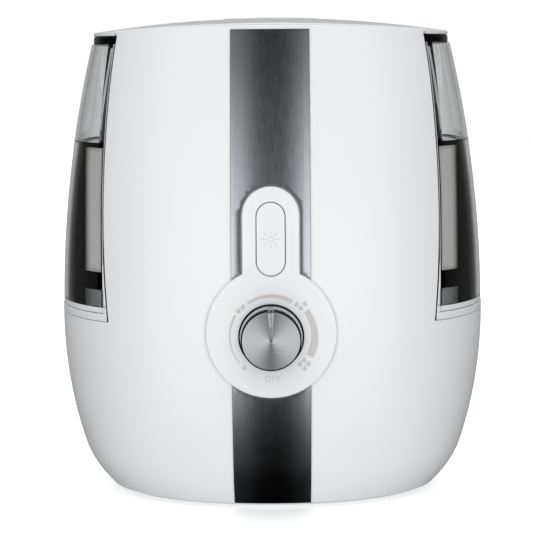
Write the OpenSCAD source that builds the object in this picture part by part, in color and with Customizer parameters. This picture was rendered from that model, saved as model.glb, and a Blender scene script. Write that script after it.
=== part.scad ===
// Ultrasonic cool mist humidifier.
// +Z is up, the controls face -Y, and the origin is the centre of the foot ring's underside.
// The white barrel-shaped housing is split front and rear. Its two tall panels hold a clear water
// tank between them, so that the tank shows as a window on each side and lifts straight up.

/* [Body] */
// Width of the housing at its widest
body_w = 254.8; // [253:0.2:258]
// Depth of the housing at its deepest
body_d = 206; // [204:1:210]
// Height of the widest section
belly_z = 110.5; // [110:0.5:112]
// Height of the top edge of the front and rear panels
panel_top_z = 281.3; // [280:0.1:283]
// How far the panel's top edge drops from its middle to its corners
panel_arch = 2.6; // [0:0.1:3]
// Wall thickness of the housing
wall = 2.6; // [2.2:0.1:2.8]
// Height of the top of the domed lid
lid_top_z = 287; // [286:0.1:289]

/* [Controls] */
// Height of the knob's axis
knob_z = 108; // [107:0.5:109]
// Radius of the knob's skirt
knob_r = 18.5; // [17:0.5:19]
// How far the knob stands out of the control plate
knob_h = 16; // [14:0.5:17]
// Height of the middle of the control plate's round part
plate_z = 109.5; // [109:0.5:110.5]
// Radius of the round part of the control plate
plate_r = 37.2; // [36:0.1:38]
// Width of the upper part of the control plate
plate_neck_w = 32.4; // [31:0.1:34]
// Height of the top of the control plate
plate_top_z = 191.6; // [189:0.1:193]
// Width of the light button
button_w = 15.8; // [15:0.1:17]
// Height of the light button
button_h = 40.6; // [38:0.1:42]
// Height of the middle of the light button
button_z = 162.4; // [161:0.1:164]
// Width of the metallic front strip
strip_w = 44.8; // [44:0.2:46]

/* [Tank] */
// Clearance between the tank and the panels
tank_gap = 0.8; // [0.6:0.1:0.9]
// Wall thickness of the tank
tank_wall = 2.4; // [2:0.1:2.6]
// Outer radius of the mist tube through the tank
tube_r = 17; // [16:0.5:18]
// Distance of the filler cap from the tank's middle
cap_x = 55; // [54:0.5:58]
// Radius of the turning mist nozzle
nozzle_r = 29; // [27:0.5:29]

/* [Hidden] */
$fn = 64;
eps = 0.01;

// ---- The barrel's surface -------------------------------------------------------------------

upper_curve = 0.000747;
lower_curve = 0.00186;
toe_curve = 0.0099;
toe_z = 30;
depth_tuck = 1.2;
square_low = 2;
square_high = 2.4;
square_z = 60;

// How far the barrel has drawn in at height z from its widest section
function draw_in(z) = z > belly_z
    ? upper_curve * pow(z - belly_z, 2)
    : lower_curve * pow(belly_z - z, 2) + toe_curve * pow(max(0, toe_z - z), 2);
function half_x(z, inset = 0) = body_w / 2 - draw_in(z) - inset;
function half_y(z, inset = 0) = body_d / 2 - depth_tuck * draw_in(z) - inset;
// The exponent of the plan's superellipse: round at the foot, squarer above
function square_at(z) = square_low + (square_high - square_low) * sin(90 * min(1, z / square_z));
function sign_pow(v, p) = (v < 0 ? -1 : 1) * pow(abs(v), p);
// A point of a superellipse: angle 0 is on the left side, 90 at the front
function oval_point(rx, ry, n, a) = [-rx * sign_pow(cos(a), 2 / n), -ry * sign_pow(sin(a), 2 / n)];
function barrel_point(z, a, inset = 0) =
    let (p = oval_point(half_x(z, inset), half_y(z, inset), square_at(z), a)) [p[0], p[1], z];
// The angle at which the barrel's plan at height z reaches a distance x from the middle
function angle_at_x(z, x, inset = 0) = acos(pow(x / half_x(z, inset), square_at(z) / 2));
// The depth of a superellipse where it is x from the middle
function oval_depth(rx, ry, n, x) = ry * pow(1 - pow(abs(x) / rx, n), 1 / n);
function barrel_depth(z, x, inset = 0) = oval_depth(half_x(z, inset), half_y(z, inset), square_at(z), x);
function oval_outline(rx, ry, n, steps = 72) = [for (i = [0:steps - 1]) oval_point(rx, ry, n, 360 * i / steps)];

// Distance of the panels' side edges from the middle: widest at edge_z, drawn in above and below
edge_z = 170;
edge_x = 96.5;
edge_top_x = 88.6;
edge_foot_x = 94;
foot_z = 112.3;
function panel_edge_x(z) = z > edge_z
    ? edge_x - (edge_x - edge_top_x) * pow((z - edge_z) / (panel_top_z - edge_z), 2)
    : edge_x - (edge_x - edge_foot_x) * pow((edge_z - z) / (edge_z - foot_z), 2);

// ---- Heights and gaps -----------------------------------------------------------------------

seam = 0.3;
split_gap = 0.2;
housing_foot_z = 3;
housing_rim_z = foot_z;
basin_floor_z = 74;
basin_floor_t = 2.4;
basin_rim_z = 116.8;
basin_rim_t = 4.2;
tank_foot_z = 117.2;
shell_foot_z = 120.5;
collar_z = 271.2;
collar_t = 2.5;
lid_foot_z = 276;
lid_wall = 2.2;
liner_top_z = 272;
liner_t = 1.6;
skin_gap = 0.25;
plate_t = 2.4;

// ---- Solids from grids of points ------------------------------------------------------------

function flat(rows) = [for (r = rows) each r];

// A closed skin between two grids of points. keep(r, c) says which cells it has; loop joins the
// last column to the first.
module skin(outer, inner, keep = function (r, c) true, loop = false) {
    rows = len(outer);
    cols = len(outer[0]);
    half = rows * cols;
    spans = loop ? cols : cols - 1;
    has = function (r, c) r >= 0 && r < rows - 1 && (loop || (c >= 0 && c < spans && keep(r, c)));
    at = function (side, r, c) side * half + r * cols + c % cols;
    quad = function (a, b, c, d) [[a, c, b], [a, d, c]];
    faces = [for (r = [0:rows - 2], c = [0:spans - 1]) if (has(r, c)) each concat(
        quad(at(0, r, c), at(0, r, c + 1), at(0, r + 1, c + 1), at(0, r + 1, c)),
        quad(at(1, r, c), at(1, r + 1, c), at(1, r + 1, c + 1), at(1, r, c + 1)),
        has(r - 1, c) ? [] : quad(at(1, r, c), at(1, r, c + 1), at(0, r, c + 1), at(0, r, c)),
        has(r + 1, c) ? [] : quad(at(0, r + 1, c), at(0, r + 1, c + 1), at(1, r + 1, c + 1), at(1, r + 1, c)),
        has(r, c - 1) ? [] : quad(at(0, r, c), at(0, r + 1, c), at(1, r + 1, c), at(1, r, c)),
        has(r, c + 1) ? [] : quad(at(1, r, c + 1), at(1, r + 1, c + 1), at(0, r + 1, c + 1), at(0, r, c + 1))
    )];
    polyhedron(concat(flat(outer), flat(inner)), faces, convexity = 10);
}

function spread(a, b, steps) = [for (i = [0:steps]) a + (b - a) * i / steps];

// ---- Housing --------------------------------------------------------------------------------

side_cols = 7;
front_cols = 24;
function housing_angles(z) = let (e = angle_at_x(z, panel_edge_x(z))) concat(
    spread(0, e, side_cols),
    [for (i = [1:front_cols]) e + (180 - 2 * e) * i / front_cols],
    [for (i = [1:side_cols]) 180 - e + e * i / side_cols]
);
low_rows = concat(spread(housing_foot_z, toe_z, 8), [48, 68, 90, housing_rim_z]);
high_rows = [for (z = spread(housing_rim_z, panel_top_z, 10)) if (z > housing_rim_z) z];
housing_rows = concat(low_rows, high_rows);

// One row of the housing half. The split face and the arched top edge are set here.
function housing_row(z, inset) = [for (a = housing_angles(z))
    let (p = barrel_point(z, a, inset), drop = z >= panel_top_z ? panel_arch * pow(p[0] / edge_top_x, 2) : 0)
    [p[0], min(p[1], -split_gap / 2), z - drop]];

// The front half, with a panel that rises between the side windows
module half_housing() {
    skin(
        [for (z = housing_rows) housing_row(z, 0)],
        [for (z = housing_rows) housing_row(z, wall)],
        function (r, c) r < len(low_rows) - 1 || (c >= side_cols && c < side_cols + front_cols)
    );
}

module keyhole(grow = 0) {
    circle(plate_r + grow);
    translate([-plate_neck_w / 2 - grow, 0])
        square([plate_neck_w + 2 * grow, plate_top_z - plate_z - plate_neck_w / 2]);
    translate([0, plate_top_z - plate_z - plate_neck_w / 2])
        circle(plate_neck_w / 2 + grow);
}

module stadium(w, h) {
    square([w, h - w], center = true);
    for (s = [-1, 1])
        translate([0, s * (h - w) / 2])
            circle(w / 2);
}

// Stands a flat shape up in the XZ plane at height z and extrudes it from y = from to y = to
module facing_front(z, from, to) {
    translate([0, to, z])
        rotate([90, 0, 0])
            linear_extrude(to - from)
                children();
}

front_y = -body_d / 2;
button_gap = 0.35;
board_y = -81.4;
led_z = button_z + 36;
shaft_r = 3;
shaft_gap = 0.5;

module front_housing() {
    color("whitesmoke")
        difference() {
            half_housing();
            facing_front(knob_z, front_y - 5, front_y + 10)
                circle(shaft_r + 1.5);
            facing_front(button_z, front_y - 5, front_y + 10)
                stadium(button_w + 2 * button_gap, button_h + 2 * button_gap);
        }
}

gland_x = 30;
gland_z = 45;
gland_r = 6;
gland_bore_r = 3.3;

module rear_housing() {
    color("whitesmoke")
        difference() {
            mirror([0, 1, 0])
                half_housing();
            translate([gland_x, body_d / 2 + 5, gland_z])
                rotate([90, 0, 0])
                    cylinder(r = gland_r + 0.15, h = 40);
        }
}

// ---- Liners: the inner walls of the hollow panels, with returns at the side edges -------------

core_x = half_x(panel_top_z, wall);
core_y = half_y(panel_top_z, wall);
groove_y = 46.2;
return_top_z = 245;
return_gap = 0.4;
liner_cols = 16;
// The angle at which the core's oval has come in to a depth y
function core_angle(grow, y) = asin(pow(y / (core_y + grow), square_high / 2));
function liner_line(z, grow) = let (
    y = groove_y + grow,
    a = core_angle(grow, y),
    x = panel_edge_x(z) - return_gap - grow,
    tip = barrel_depth(z, x, wall) - seam
) concat(
    [[-x, -tip, z], [-x, -y, z]],
    [for (i = [0:liner_cols]) let (p = oval_point(core_x + grow, core_y + grow, square_high,
        a + (180 - 2 * a) * i / liner_cols)) [p[0], p[1], z]],
    [[x, -y, z], [x, -tip, z]]
);

// The returns stop at return_top_z, above which the panel is too shallow for them
module liner() {
    zs = concat(spread(basin_rim_z + seam, return_top_z, 6), [260, liner_top_z]);
    skin(
        [for (z = zs) liner_line(z, liner_t)],
        [for (z = zs) liner_line(z, 0)],
        function (r, c) zs[r] < return_top_z || (c >= 2 && c < liner_cols + 2)
    );
}

module front_liner() {
    color("whitesmoke")
        difference() {
            union() {
                liner();
                // bosses that carry the light board
                for (x = [-10, 10], z = [-17, 25])
                    facing_front(button_z + z, board_y, -core_y - liner_t / 2)
                        translate([x, 0])
                            circle(2.5);
            }
            facing_front(led_z, -core_y - 10, -core_y + 10)
                square([20, 6], center = true);
        }
}

module rear_liner() {
    color("whitesmoke")
        mirror([0, 1, 0])
            liner();
}

// ---- Base cover, foot ring and screws ---------------------------------------------------------

foot_rx = 92;
foot_ry = 60;
foot_ring_w = 7;
foot_ring_h = 3.2;
cover_z = 2.6;
cover_t = 3;
cover_rx = half_x(housing_foot_z, wall + seam);
cover_ry = half_y(housing_foot_z, wall + seam);
post_points = [[-66, -24], [70, -14], [-66, 28], [62, 28]];
screw_r = 1.5;
fan_x = 38;
fan_y = -22;
fan_side = 50;
fan_z = 9;
driver_z = 30;
power_z = 10;
board_t = 1.6;

module at_posts() {
    for (p = post_points)
        translate([p[0], p[1], 0])
            children();
}

// Pillars from the cover up to the underside of a board or the fan at height z
module pillars(points, z) {
    for (p = points)
        translate([p[0], p[1], cover_z + eps])
            cylinder(r = 2.5, h = z - cover_z - eps);
}

module base_cover() {
    color("gainsboro")
        difference() {
            union() {
                translate([0, 0, cover_z])
                    linear_extrude(cover_t)
                        polygon(oval_outline(cover_rx, cover_ry, 2));
                pillars([[-56, -40], [-4, -40], [-56, -2], [-4, -2]], driver_z);
                pillars([[-56, 10], [26, 10], [-56, 48], [26, 48]], power_z);
                pillars([for (x = [-21, 21], y = [-21, 21]) [fan_x + x, fan_y + y]], fan_z);
            }
            // groove for the foot ring
            translate([0, 0, cover_z - 1])
                linear_extrude(1 + foot_ring_h - cover_z)
                    difference() {
                        polygon(oval_outline(foot_rx + 0.1, foot_ry + 0.1, 2));
                        polygon(oval_outline(foot_rx - foot_ring_w - 0.1, foot_ry - foot_ring_w - 0.1, 2));
                    }
            // air intake under the fan
            for (i = [-4:4])
                translate([fan_x + i * 5 - 1.5, fan_y - 17, 0])
                    cube([3, 34, 10]);
            at_posts()
                cylinder(r = screw_r + 0.3, h = 10);
        }
}

module foot_ring() {
    color("white")
        linear_extrude(foot_ring_h)
            difference() {
                polygon(oval_outline(foot_rx, foot_ry, 2));
                polygon(oval_outline(foot_rx - foot_ring_w, foot_ry - foot_ring_w, 2));
            }
}

module screw(head_r, head_h, r, l) {
    difference() {
        union() {
            translate([0, 0, -head_h])
                cylinder(r = head_r, h = head_h);
            cylinder(r = r, h = l);
        }
        // cross recess
        for (a = [0, 90])
            rotate([0, 0, a])
                translate([-head_r * 0.6, -0.35, -head_h - eps])
                    cube([head_r * 1.2, 0.7, head_h * 0.6]);
    }
}

module cover_screws() {
    color("silver")
        at_posts()
            translate([0, 0, cover_z])
                screw(3, 1.6, screw_r, 12);
}

// ---- Basin: the tub that the tank stands over ---------------------------------------------------

tub_rx = 118;
tub_ry = 80;
tub_n = 2.6;
tub_wall = 2.2;
transducer_r = 10;
transducer_hole_r = 11;
chamber_r = 23;
duct_w = 30;
duct_d = 20;
duct_wall = 2;
duct_top_z = 109;
flange_w = 6;
float_x = 52;
float_y = 44;
float_post_r = 2.5;
float_post_top_z = 106;
valve_post_r = 3;
valve_post_top_z = 94.8;
clamp_boss_h = 3;
clamp_hole_r = 1;
clamp_points = [for (i = [0:2]) [16.5 * cos(90 + 120 * i), 16.5 * sin(90 + 120 * i)]];

// The rim's two crescents fill the gaps between the panels, level with the tub's edge
module basin_rim() {
    z = basin_rim_z - basin_rim_t;
    color("white")
        translate([0, 0, z])
            linear_extrude(basin_rim_t)
                difference() {
                    polygon(oval_outline(half_x(z), half_y(z), square_high, 144));
                    polygon(oval_outline(tub_rx + 0.1, tub_ry + 0.1, tub_n));
                    square([2 * (edge_foot_x + 0.7), body_d], center = true);
                }
}

lip_y = 50;

// Four lips on the rim, which close the gaps between the panels' edges and the tank's foot
module rim_lips() {
    x0 = panel_edge_x(shell_foot_z) + seam;
    x1 = ear_x(shell_foot_z) - 0.2;
    color("white")
        for (sx = [-1, 1], sy = [-1, 1])
            scale([sx, sy, 1])
                translate([0, 0, basin_rim_z])
                    linear_extrude(shell_foot_z - basin_rim_z)
                        intersection() {
                            polygon(oval_outline(half_x(shell_foot_z), half_y(shell_foot_z), square_high, 144));
                            translate([x0, lip_y])
                                square([x1 - x0, body_d]);
                        }
}

// The tub's wall, open above and below
module basin() {
    color("white")
        translate([0, 0, basin_floor_z])
            linear_extrude(basin_rim_z - basin_floor_z)
                difference() {
                    polygon(oval_outline(tub_rx, tub_ry, tub_n));
                    polygon(oval_outline(tub_rx - tub_wall, tub_ry - tub_wall, tub_n));
                }
}

// The tub's floor, with openings for the transducer, the air stack and the clamp's screws
module basin_floor() {
    color("white")
        translate([0, 0, basin_floor_z])
            linear_extrude(basin_floor_t)
                difference() {
                    polygon(oval_outline(tub_rx - tub_wall, tub_ry - tub_wall, tub_n));
                    circle(transducer_hole_r);
                    translate([fan_x, fan_y])
                        square([duct_w + 2 * flange_w, duct_d + 2 * flange_w], center = true);
                    for (p = clamp_points)
                        translate(p)
                            circle(clamp_hole_r);
                }
}

// Posts for the float and the valve on the floor, and under it the feet and the clamp's bosses
module basin_posts() {
    top_z = basin_floor_z + basin_floor_t;
    color("white") {
        translate([float_x, float_y, top_z])
            cylinder(r = float_post_r, h = float_post_top_z - top_z);
        translate([-cap_x, 0, top_z])
            cylinder(r = valve_post_r, h = valve_post_top_z - top_z);
        at_posts()
            translate([0, 0, cover_z + cover_t])
                difference() {
                    cylinder(r = 4.5, h = basin_floor_z - cover_z - cover_t);
                    translate([0, 0, -1])
                        cylinder(r = screw_r, h = 12);
                }
        for (p = clamp_points)
            translate([p[0], p[1], basin_floor_z - clamp_boss_h])
                difference() {
                    cylinder(r = 2.2, h = clamp_boss_h);
                    translate([0, 0, -1])
                        cylinder(r = clamp_hole_r, h = clamp_boss_h + 2);
                }
    }
}

// Ring round the transducer, with two gaps at its foot for water
module chamber_ring() {
    color("white")
        translate([0, 0, basin_floor_z + basin_floor_t])
            difference() {
                cylinder(r = chamber_r, h = 21.6);
                translate([0, 0, -1])
                    cylinder(r = chamber_r - 2, h = 30);
                translate([-4, -chamber_r - 5, -1])
                    cube([8, 2 * chamber_r + 10, 13]);
            }
}

// A block centred on the fan's axis, with its underside at height z
module fan_block(w, d, z, h) {
    translate([fan_x - w / 2, fan_y - d / 2, z])
        cube([w, d, h]);
}

// Air column that stands above the water, with a flange that fills the floor's opening
module air_stack() {
    color("white")
        difference() {
            union() {
                fan_block(duct_w, duct_d, basin_floor_z, duct_top_z - basin_floor_z);
                fan_block(duct_w + 2 * flange_w, duct_d + 2 * flange_w, basin_floor_z, basin_floor_t);
            }
            fan_block(duct_w - 2 * duct_wall, duct_d - 2 * duct_wall, basin_floor_z - 1, 60);
        }
}

// ---- Controls -----------------------------------------------------------------------------------

// A patch of the barrel's front between two insets, |x| up to half_w, with rows at heights zs
module front_patch(half_w, zs, outer_inset, inner_inset, cols) {
    xs = spread(-half_w, half_w, cols);
    skin(
        [for (z = zs) [for (x = xs) [x, -barrel_depth(z, x, outer_inset), z]]],
        [for (z = zs) [for (x = xs) [x, -barrel_depth(z, x, inner_inset), z]]]
    );
}

strip_t = 0.7;
strip_top_z = 279;
strip_foot_z = 3.4;

module front_strip(zs) {
    color("dimgray")
        difference() {
            front_patch(strip_w / 2, zs, -skin_gap - strip_t, -skin_gap, 8);
            facing_front(plate_z, front_y - 5, front_y + 60)
                keyhole(0.3);
        }
}

module front_strip_upper() {
    front_strip(spread(plate_z, strip_top_z, 14));
}

// Its rows are closer together where the toe curves in
module front_strip_lower() {
    front_strip(concat(spread(strip_foot_z, toe_z - 2, 14), spread(toe_z, plate_z, 9)));
}

module control_plate() {
    color("white")
        difference() {
            intersection() {
                front_patch(plate_r + 3, spread(plate_z - plate_r - 4, plate_top_z + 4, 12),
                    -skin_gap - plate_t, -skin_gap, 12);
                facing_front(plate_z, front_y - 10, front_y + 20)
                    keyhole();
            }
            facing_front(knob_z, front_y - 10, front_y + 20)
                circle(shaft_r + shaft_gap);
            facing_front(button_z, front_y - 10, front_y + 20)
                stadium(button_w + 2 * button_gap, button_h + 2 * button_gap);
        }
}

plate_face_y = front_y - skin_gap - plate_t;
knob_gap = 0.7;
knob_back_y = plate_face_y - knob_gap;
knob_face_r = knob_r - 1.2;

// Turns a profile of [radius, distance out of the plate] about the knob's axis
module about_knob_axis() {
    translate([0, knob_back_y, knob_z])
        rotate([90, 0, 0])
            children();
}

// Skirt, waist groove, slightly tapered side and flat face
module knob_profile() {
    polygon([[0, 0], [knob_r, 0], [knob_r, 2], [knob_r - 0.9, 2.6], [knob_r - 0.9, 3.6], [knob_r - 0.2, 4.2],
        [knob_face_r + 0.4, knob_h - 0.9], [knob_face_r - 0.5, knob_h], [0, knob_h]]);
}

module knob() {
    color("gray")
        about_knob_axis()
            rotate_extrude($fn = 96)
                difference() {
                    knob_profile();
                    translate([knob_r - 4, -1])
                        square([2, knob_h - 3]);
                    square([2 * shaft_r, 2 * (knob_h - 4)], center = true);
                }
}

pointer_w = 4.4;
pointer_tip_w = 1.8;
pointer_proud = 0.8;

// Tapered ridge that runs up the knob's side and across its face to the middle
module knob_pointer() {
    color("lightgray")
        about_knob_axis()
            difference() {
                translate([0, 0, 4.4])
                    linear_extrude(knob_h + pointer_proud - 4.4)
                        polygon([[-pointer_tip_w / 2, 0], [pointer_tip_w / 2, 0], [pointer_w / 2, knob_r],
                            [-pointer_w / 2, knob_r]]);
                rotate_extrude($fn = 96)
                    knob_profile();
            }
}

pot_y0 = front_y + 3.8;
pot_depth = 9;

module knob_shaft() {
    color("silver")
        translate([0, pot_y0 + 5, knob_z])
            rotate([90, 0, 0])
                cylinder(r = shaft_r - 0.05, h = pot_y0 + 5 - knob_back_y + knob_h - 4.5);
}

module potentiometer() {
    color("darkslategray")
        difference() {
            union() {
                translate([-9, pot_y0, knob_z - 9])
                    cube([18, pot_depth, 18]);
                translate([0, pot_y0 + 1, knob_z])
                    rotate([90, 0, 0])
                        cylinder(r = 4.2, h = 4.2);
            }
            translate([0, pot_y0 + 5.5, knob_z])
                rotate([90, 0, 0])
                    cylinder(r = shaft_r, h = 12);
        }
}

button_proud = 0.25;
stem_r = 2.5;
button_back_y = front_y + 3.6;

module light_button() {
    color("white") {
        intersection() {
            front_patch(button_w, spread(button_z - button_h, button_z + button_h, 12),
                -skin_gap - plate_t - button_proud, 2, 6);
            facing_front(button_z, front_y - 10, front_y + 20)
                stadium(button_w, button_h);
        }
        translate([0, board_y - 6.2, button_z])
            rotate([90, 0, 0])
                cylinder(r = stem_r, h = board_y - 6.2 - button_back_y + 1);
    }
}

module light_board() {
    color("darkgreen")
        translate([-14, board_y - 1.6, button_z - 24])
            cube([28, 1.6, 66]);
}

module light_switch() {
    color("black")
        translate([-3, board_y - 1.6 - 3, button_z - 3])
            cube([6, 3, 6]);
}

module night_light_leds() {
    color("aliceblue")
        for (s = [-1, 1])
            translate([s * 5, board_y, led_z])
                rotate([-90, 0, 0]) {
                    cylinder(r = 2.4, h = 1);
                    cylinder(r = 1.9, h = 3.4);
                }
}

// ---- Mist generator and electronics ----------------------------------------------------------------

seal_z = basin_floor_z - 3;

module transducer_seal() {
    color("dimgray")
        translate([0, 0, seal_z])
            difference() {
                cylinder(r = 13.5, h = 3);
                translate([0, 0, -1])
                    cylinder(r = 8.5, h = 5);
                translate([0, 0, 0.9])
                    cylinder(r = transducer_r + 0.2, h = 1.3);
            }
}

module transducer_disc() {
    color("gold")
        translate([0, 0, seal_z + 1])
            cylinder(r = transducer_r, h = 1.1);
}

module transducer_clamp() {
    color("silver")
        translate([0, 0, seal_z - 2])
            difference() {
                cylinder(r = 20, h = 2);
                translate([0, 0, -1])
                    cylinder(r = 7, h = 5);
                for (p = clamp_points)
                    translate([p[0], p[1], -1])
                        cylinder(r = 1.3, h = 5);
            }
}

module clamp_screws() {
    color("silver")
        for (p = clamp_points)
            translate([p[0], p[1], seal_z - 2])
                screw(2.1, 1.4, 1, 6);
}

module heat_sink() {
    color("lightsteelblue")
        translate([-52, -36, driver_z + board_t]) {
            cube([44, 30, 4]);
            for (i = [0:7])
                translate([i * 6, 0, 4 - eps])
                    cube([2, 30, 18]);
        }
}

module driver_board() {
    color("darkgreen")
        translate([-60, -44, driver_z])
            cube([60, 46, board_t]);
}

module power_board() {
    color("darkgreen")
        translate([-60, 6, power_z])
            cube([90, 46, board_t]);
}

module transformer() {
    color("goldenrod")
        translate([-52, 12, power_z + board_t]) {
            cube([36, 34, 6]);
            translate([6, 4, 6 - eps])
                cube([24, 26, 20 + 2 * eps]);
            translate([0, 0, 26])
                cube([36, 34, 5]);
        }
}

fan_h = 15;
fan_hub_r = 11;

module fan_housing() {
    color("black")
        translate([fan_x, fan_y, fan_z])
            difference() {
                union() {
                    difference() {
                        translate([-fan_side / 2, -fan_side / 2, 0])
                            cube([fan_side, fan_side, fan_h]);
                        translate([0, 0, -1])
                            cylinder(r = 23, h = fan_h + 2);
                    }
                    // motor seat on three arms
                    cylinder(r = fan_hub_r - 1, h = 2);
                    for (a = [0, 120, 240])
                        rotate([0, 0, a + 30])
                            translate([0, -1.5, 0])
                                cube([24, 3, 2]);
                }
                for (x = [-1, 1], y = [-1, 1])
                    translate([x * 21, y * 21, -1])
                        cylinder(r = 1.8, h = fan_h + 2);
                translate([0, 0, 0.8])
                    cylinder(r = 1.55, h = 3);
            }
}

module fan_rotor() {
    color("dimgray")
        translate([fan_x, fan_y, fan_z + 2.4]) {
            cylinder(r = fan_hub_r, h = fan_h - 3);
            translate([0, 0, -1.4])
                cylinder(r = 1.5, h = 2);
            intersection() {
                translate([0, 0, 0.6])
                    cylinder(r = 22, h = fan_h - 4.2);
                for (i = [0:6])
                    rotate([0, 0, i * 360 / 7])
                        translate([fan_hub_r - 1.5, 0, 5.5])
                            rotate([38, 0, 0])
                                cube([30, 1.2, 16], center = false);
            }
        }
}

module air_duct() {
    z0 = fan_z + fan_h + 0.2;
    color("gainsboro")
        difference() {
            union() {
                fan_block(fan_side, fan_side, z0, 12);
                fan_block(duct_w, duct_d, z0, basin_floor_z - z0 - 0.2);
            }
            fan_block(fan_side - 2 * duct_wall, fan_side - 2 * duct_wall, z0 - 1, 13 - duct_wall);
            fan_block(duct_w - 2 * duct_wall, duct_d - 2 * duct_wall, z0 - 1, 80);
        }
}

float_h = 12;
float_r = 11;

module float() {
    color("ivory")
        translate([float_x, float_y, basin_floor_z + basin_floor_t + 0.3])
            difference() {
                cylinder(r = float_r, h = float_h);
                translate([0, 0, -1])
                    cylinder(r = float_post_r + 0.3, h = float_h + 2);
            }
}

module float_clip() {
    color("silver")
        translate([float_x, float_y, float_post_top_z - 2.5])
            difference() {
                cylinder(r = 5.5, h = 1.2);
                translate([0, 0, -1])
                    cylinder(r = float_post_r, h = 4);
            }
}

module cord_gland() {
    y1 = barrel_depth(gland_z, gland_x);
    color("dimgray")
        translate([gland_x, y1 + 3.5, gland_z])
            rotate([90, 0, 0])
                difference() {
                    union() {
                        cylinder(r = gland_r, h = 16);
                        translate([0, 0, 12])
                            cylinder(r = gland_r + 2.5, h = 2.5);
                    }
                    translate([0, 0, -1])
                        cylinder(r = gland_bore_r, h = 20);
                }
}

// ---- Tank -----------------------------------------------------------------------------------------

ear_gap = 0.7;
tank_inset = 0.3;
tank_core_x = core_x - tank_gap;
tank_core_y = core_y - tank_gap;
tank_groove_y = groove_y - 1.2;
core_steps = 9;
ear_steps = 6;
// Where the side bulges start: outside every panel edge that they pass on the way up
function ear_x(z) = panel_edge_x(max(z, edge_z)) + ear_gap;

// A quarter of the tank's plan, from the front middle to the left side, drawn in by t
function tank_quarter(z, t) = let (
    y = tank_groove_y - t,
    rx = tank_core_x - t,
    ry = tank_core_y - t,
    a = asin(pow(y / ry, square_high / 2)),
    x = ear_x(z) + t,
    b = angle_at_x(z, x, tank_inset + t)
) concat(
    [for (i = [0:core_steps]) oval_point(rx, ry, square_high, 90 + (a - 90) * i / core_steps)],
    [[-x, -y]],
    [for (i = [0:ear_steps]) let (p = barrel_point(z, b * (1 - i / ear_steps), tank_inset + t)) [p[0], p[1]]]
);
function but_last(v) = [for (i = [0:len(v) - 2]) v[i]];
function backwards(v) = [for (i = [len(v) - 1:-1:0]) v[i]];
function tank_outline(z, t = 0) = let (
    q = tank_quarter(z, t),
    left = concat(but_last(q), backwards([for (p = q) [p[0], -p[1]]])),
    right = [for (p = backwards(left)) [-p[0], p[1]]]
) concat(but_last(left), but_last(right));
function raised(outline, z) = [for (p = outline) [p[0], p[1], z]];

module tank_shell() {
    zs = spread(shell_foot_z, collar_z, 9);
    color("slategray", 0.5)
        skin([for (z = zs) raised(tank_outline(z), z)], [for (z = zs) raised(tank_outline(z, tank_wall), z)],
            loop = true);
}

neck_r = 26;
neck_wall = 2.6;
neck_foot_z = 99;
tube_gap = 0.1;

module tank_base() {
    color("white")
        difference() {
            union() {
                translate([0, 0, tank_foot_z])
                    linear_extrude(shell_foot_z - tank_foot_z)
                        polygon(tank_outline(shell_foot_z));
                translate([-cap_x, 0, neck_foot_z])
                    cylinder(r = neck_r, h = tank_foot_z - neck_foot_z + 1);
            }
            translate([-cap_x, 0, neck_foot_z - 1])
                cylinder(r = neck_r - neck_wall, h = 40);
            translate([0, 0, tank_foot_z - 1])
                cylinder(r = tube_r + tube_gap, h = 10);
        }
}

seal_foot_z = 130.4;
seal_top_z = 140.8;
seal_t = 1.6;

// Black band round the inside of the shell, above its foot
module tank_seal() {
    outer = tank_wall + 0.15;
    zs = spread(seal_foot_z, seal_top_z, 1);
    color([0.05, 0.05, 0.05])
        skin([for (z = zs) raised(tank_outline(z, outer), z)],
            [for (z = zs) raised(tank_outline(z, outer + seal_t), z)], loop = true);
}

tube_wall = 2;
tube_foot_z = 94;

module mist_tube() {
    color("lightsteelblue")
        translate([0, 0, tube_foot_z])
            difference() {
                cylinder(r = tube_r, h = collar_z + collar_t + 1 - tube_foot_z);
                translate([0, 0, -1])
                    cylinder(r = tube_r - tube_wall, h = 300);
            }
}

module tank_collar() {
    color([0.05, 0.05, 0.05])
        difference() {
            translate([0, 0, collar_z])
                linear_extrude(lid_foot_z - collar_z)
                    polygon(tank_outline(lid_foot_z));
            translate([0, 0, collar_z + collar_t])
                linear_extrude(10)
                    polygon(tank_outline(lid_foot_z, 3));
            translate([0, 0, collar_z - 1])
                cylinder(r = tube_r + tube_gap, h = 10);
        }
}

dome_r = 686;
handle_x = 50;
handle_y = 45;
handle_w = 8;
pivot_z = 281;
pin_r = 1.5;
pin_gap = 0.1;
trough_floor_z = 278.4;
handle_foot_z = 279;
pivot_end_r = 2.4;
channel_gap = 0.6;
channel_tail = 6.6;
nozzle_seat_z = 278.8;
nozzle_skirt_r = 24;

// The ball whose cap is the lid's dome, drawn in by t
module dome_ball(t) {
    translate([0, 0, lid_top_z - dome_r])
        sphere(r = dome_r - t, $fn = 240);
}

// The bail's U shape in plan, wider by grow on every side. tail is how far it runs past its pivot.
module bail_plan(grow, tail) {
    w = handle_w / 2 + grow;
    difference() {
        union() {
            translate([-handle_x - w, -tail])
                square([2 * (handle_x + w), handle_y - 6 + tail]);
            for (s = [-1, 1])
                translate([s * (handle_x + w - 10), handle_y + w - 10])
                    circle(10);
            translate([-handle_x - w + 10, handle_y - 10])
                square([2 * (handle_x + w - 10), w + 10]);
        }
        translate([-handle_x + w, -tail - 1])
            square([2 * (handle_x - w), handle_y - w + tail + 1]);
    }
}

module at_pivots() {
    for (s = [-1, 1])
        translate([s * handle_x, 0, pivot_z])
            rotate([0, 90, 0])
                children();
}

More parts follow.
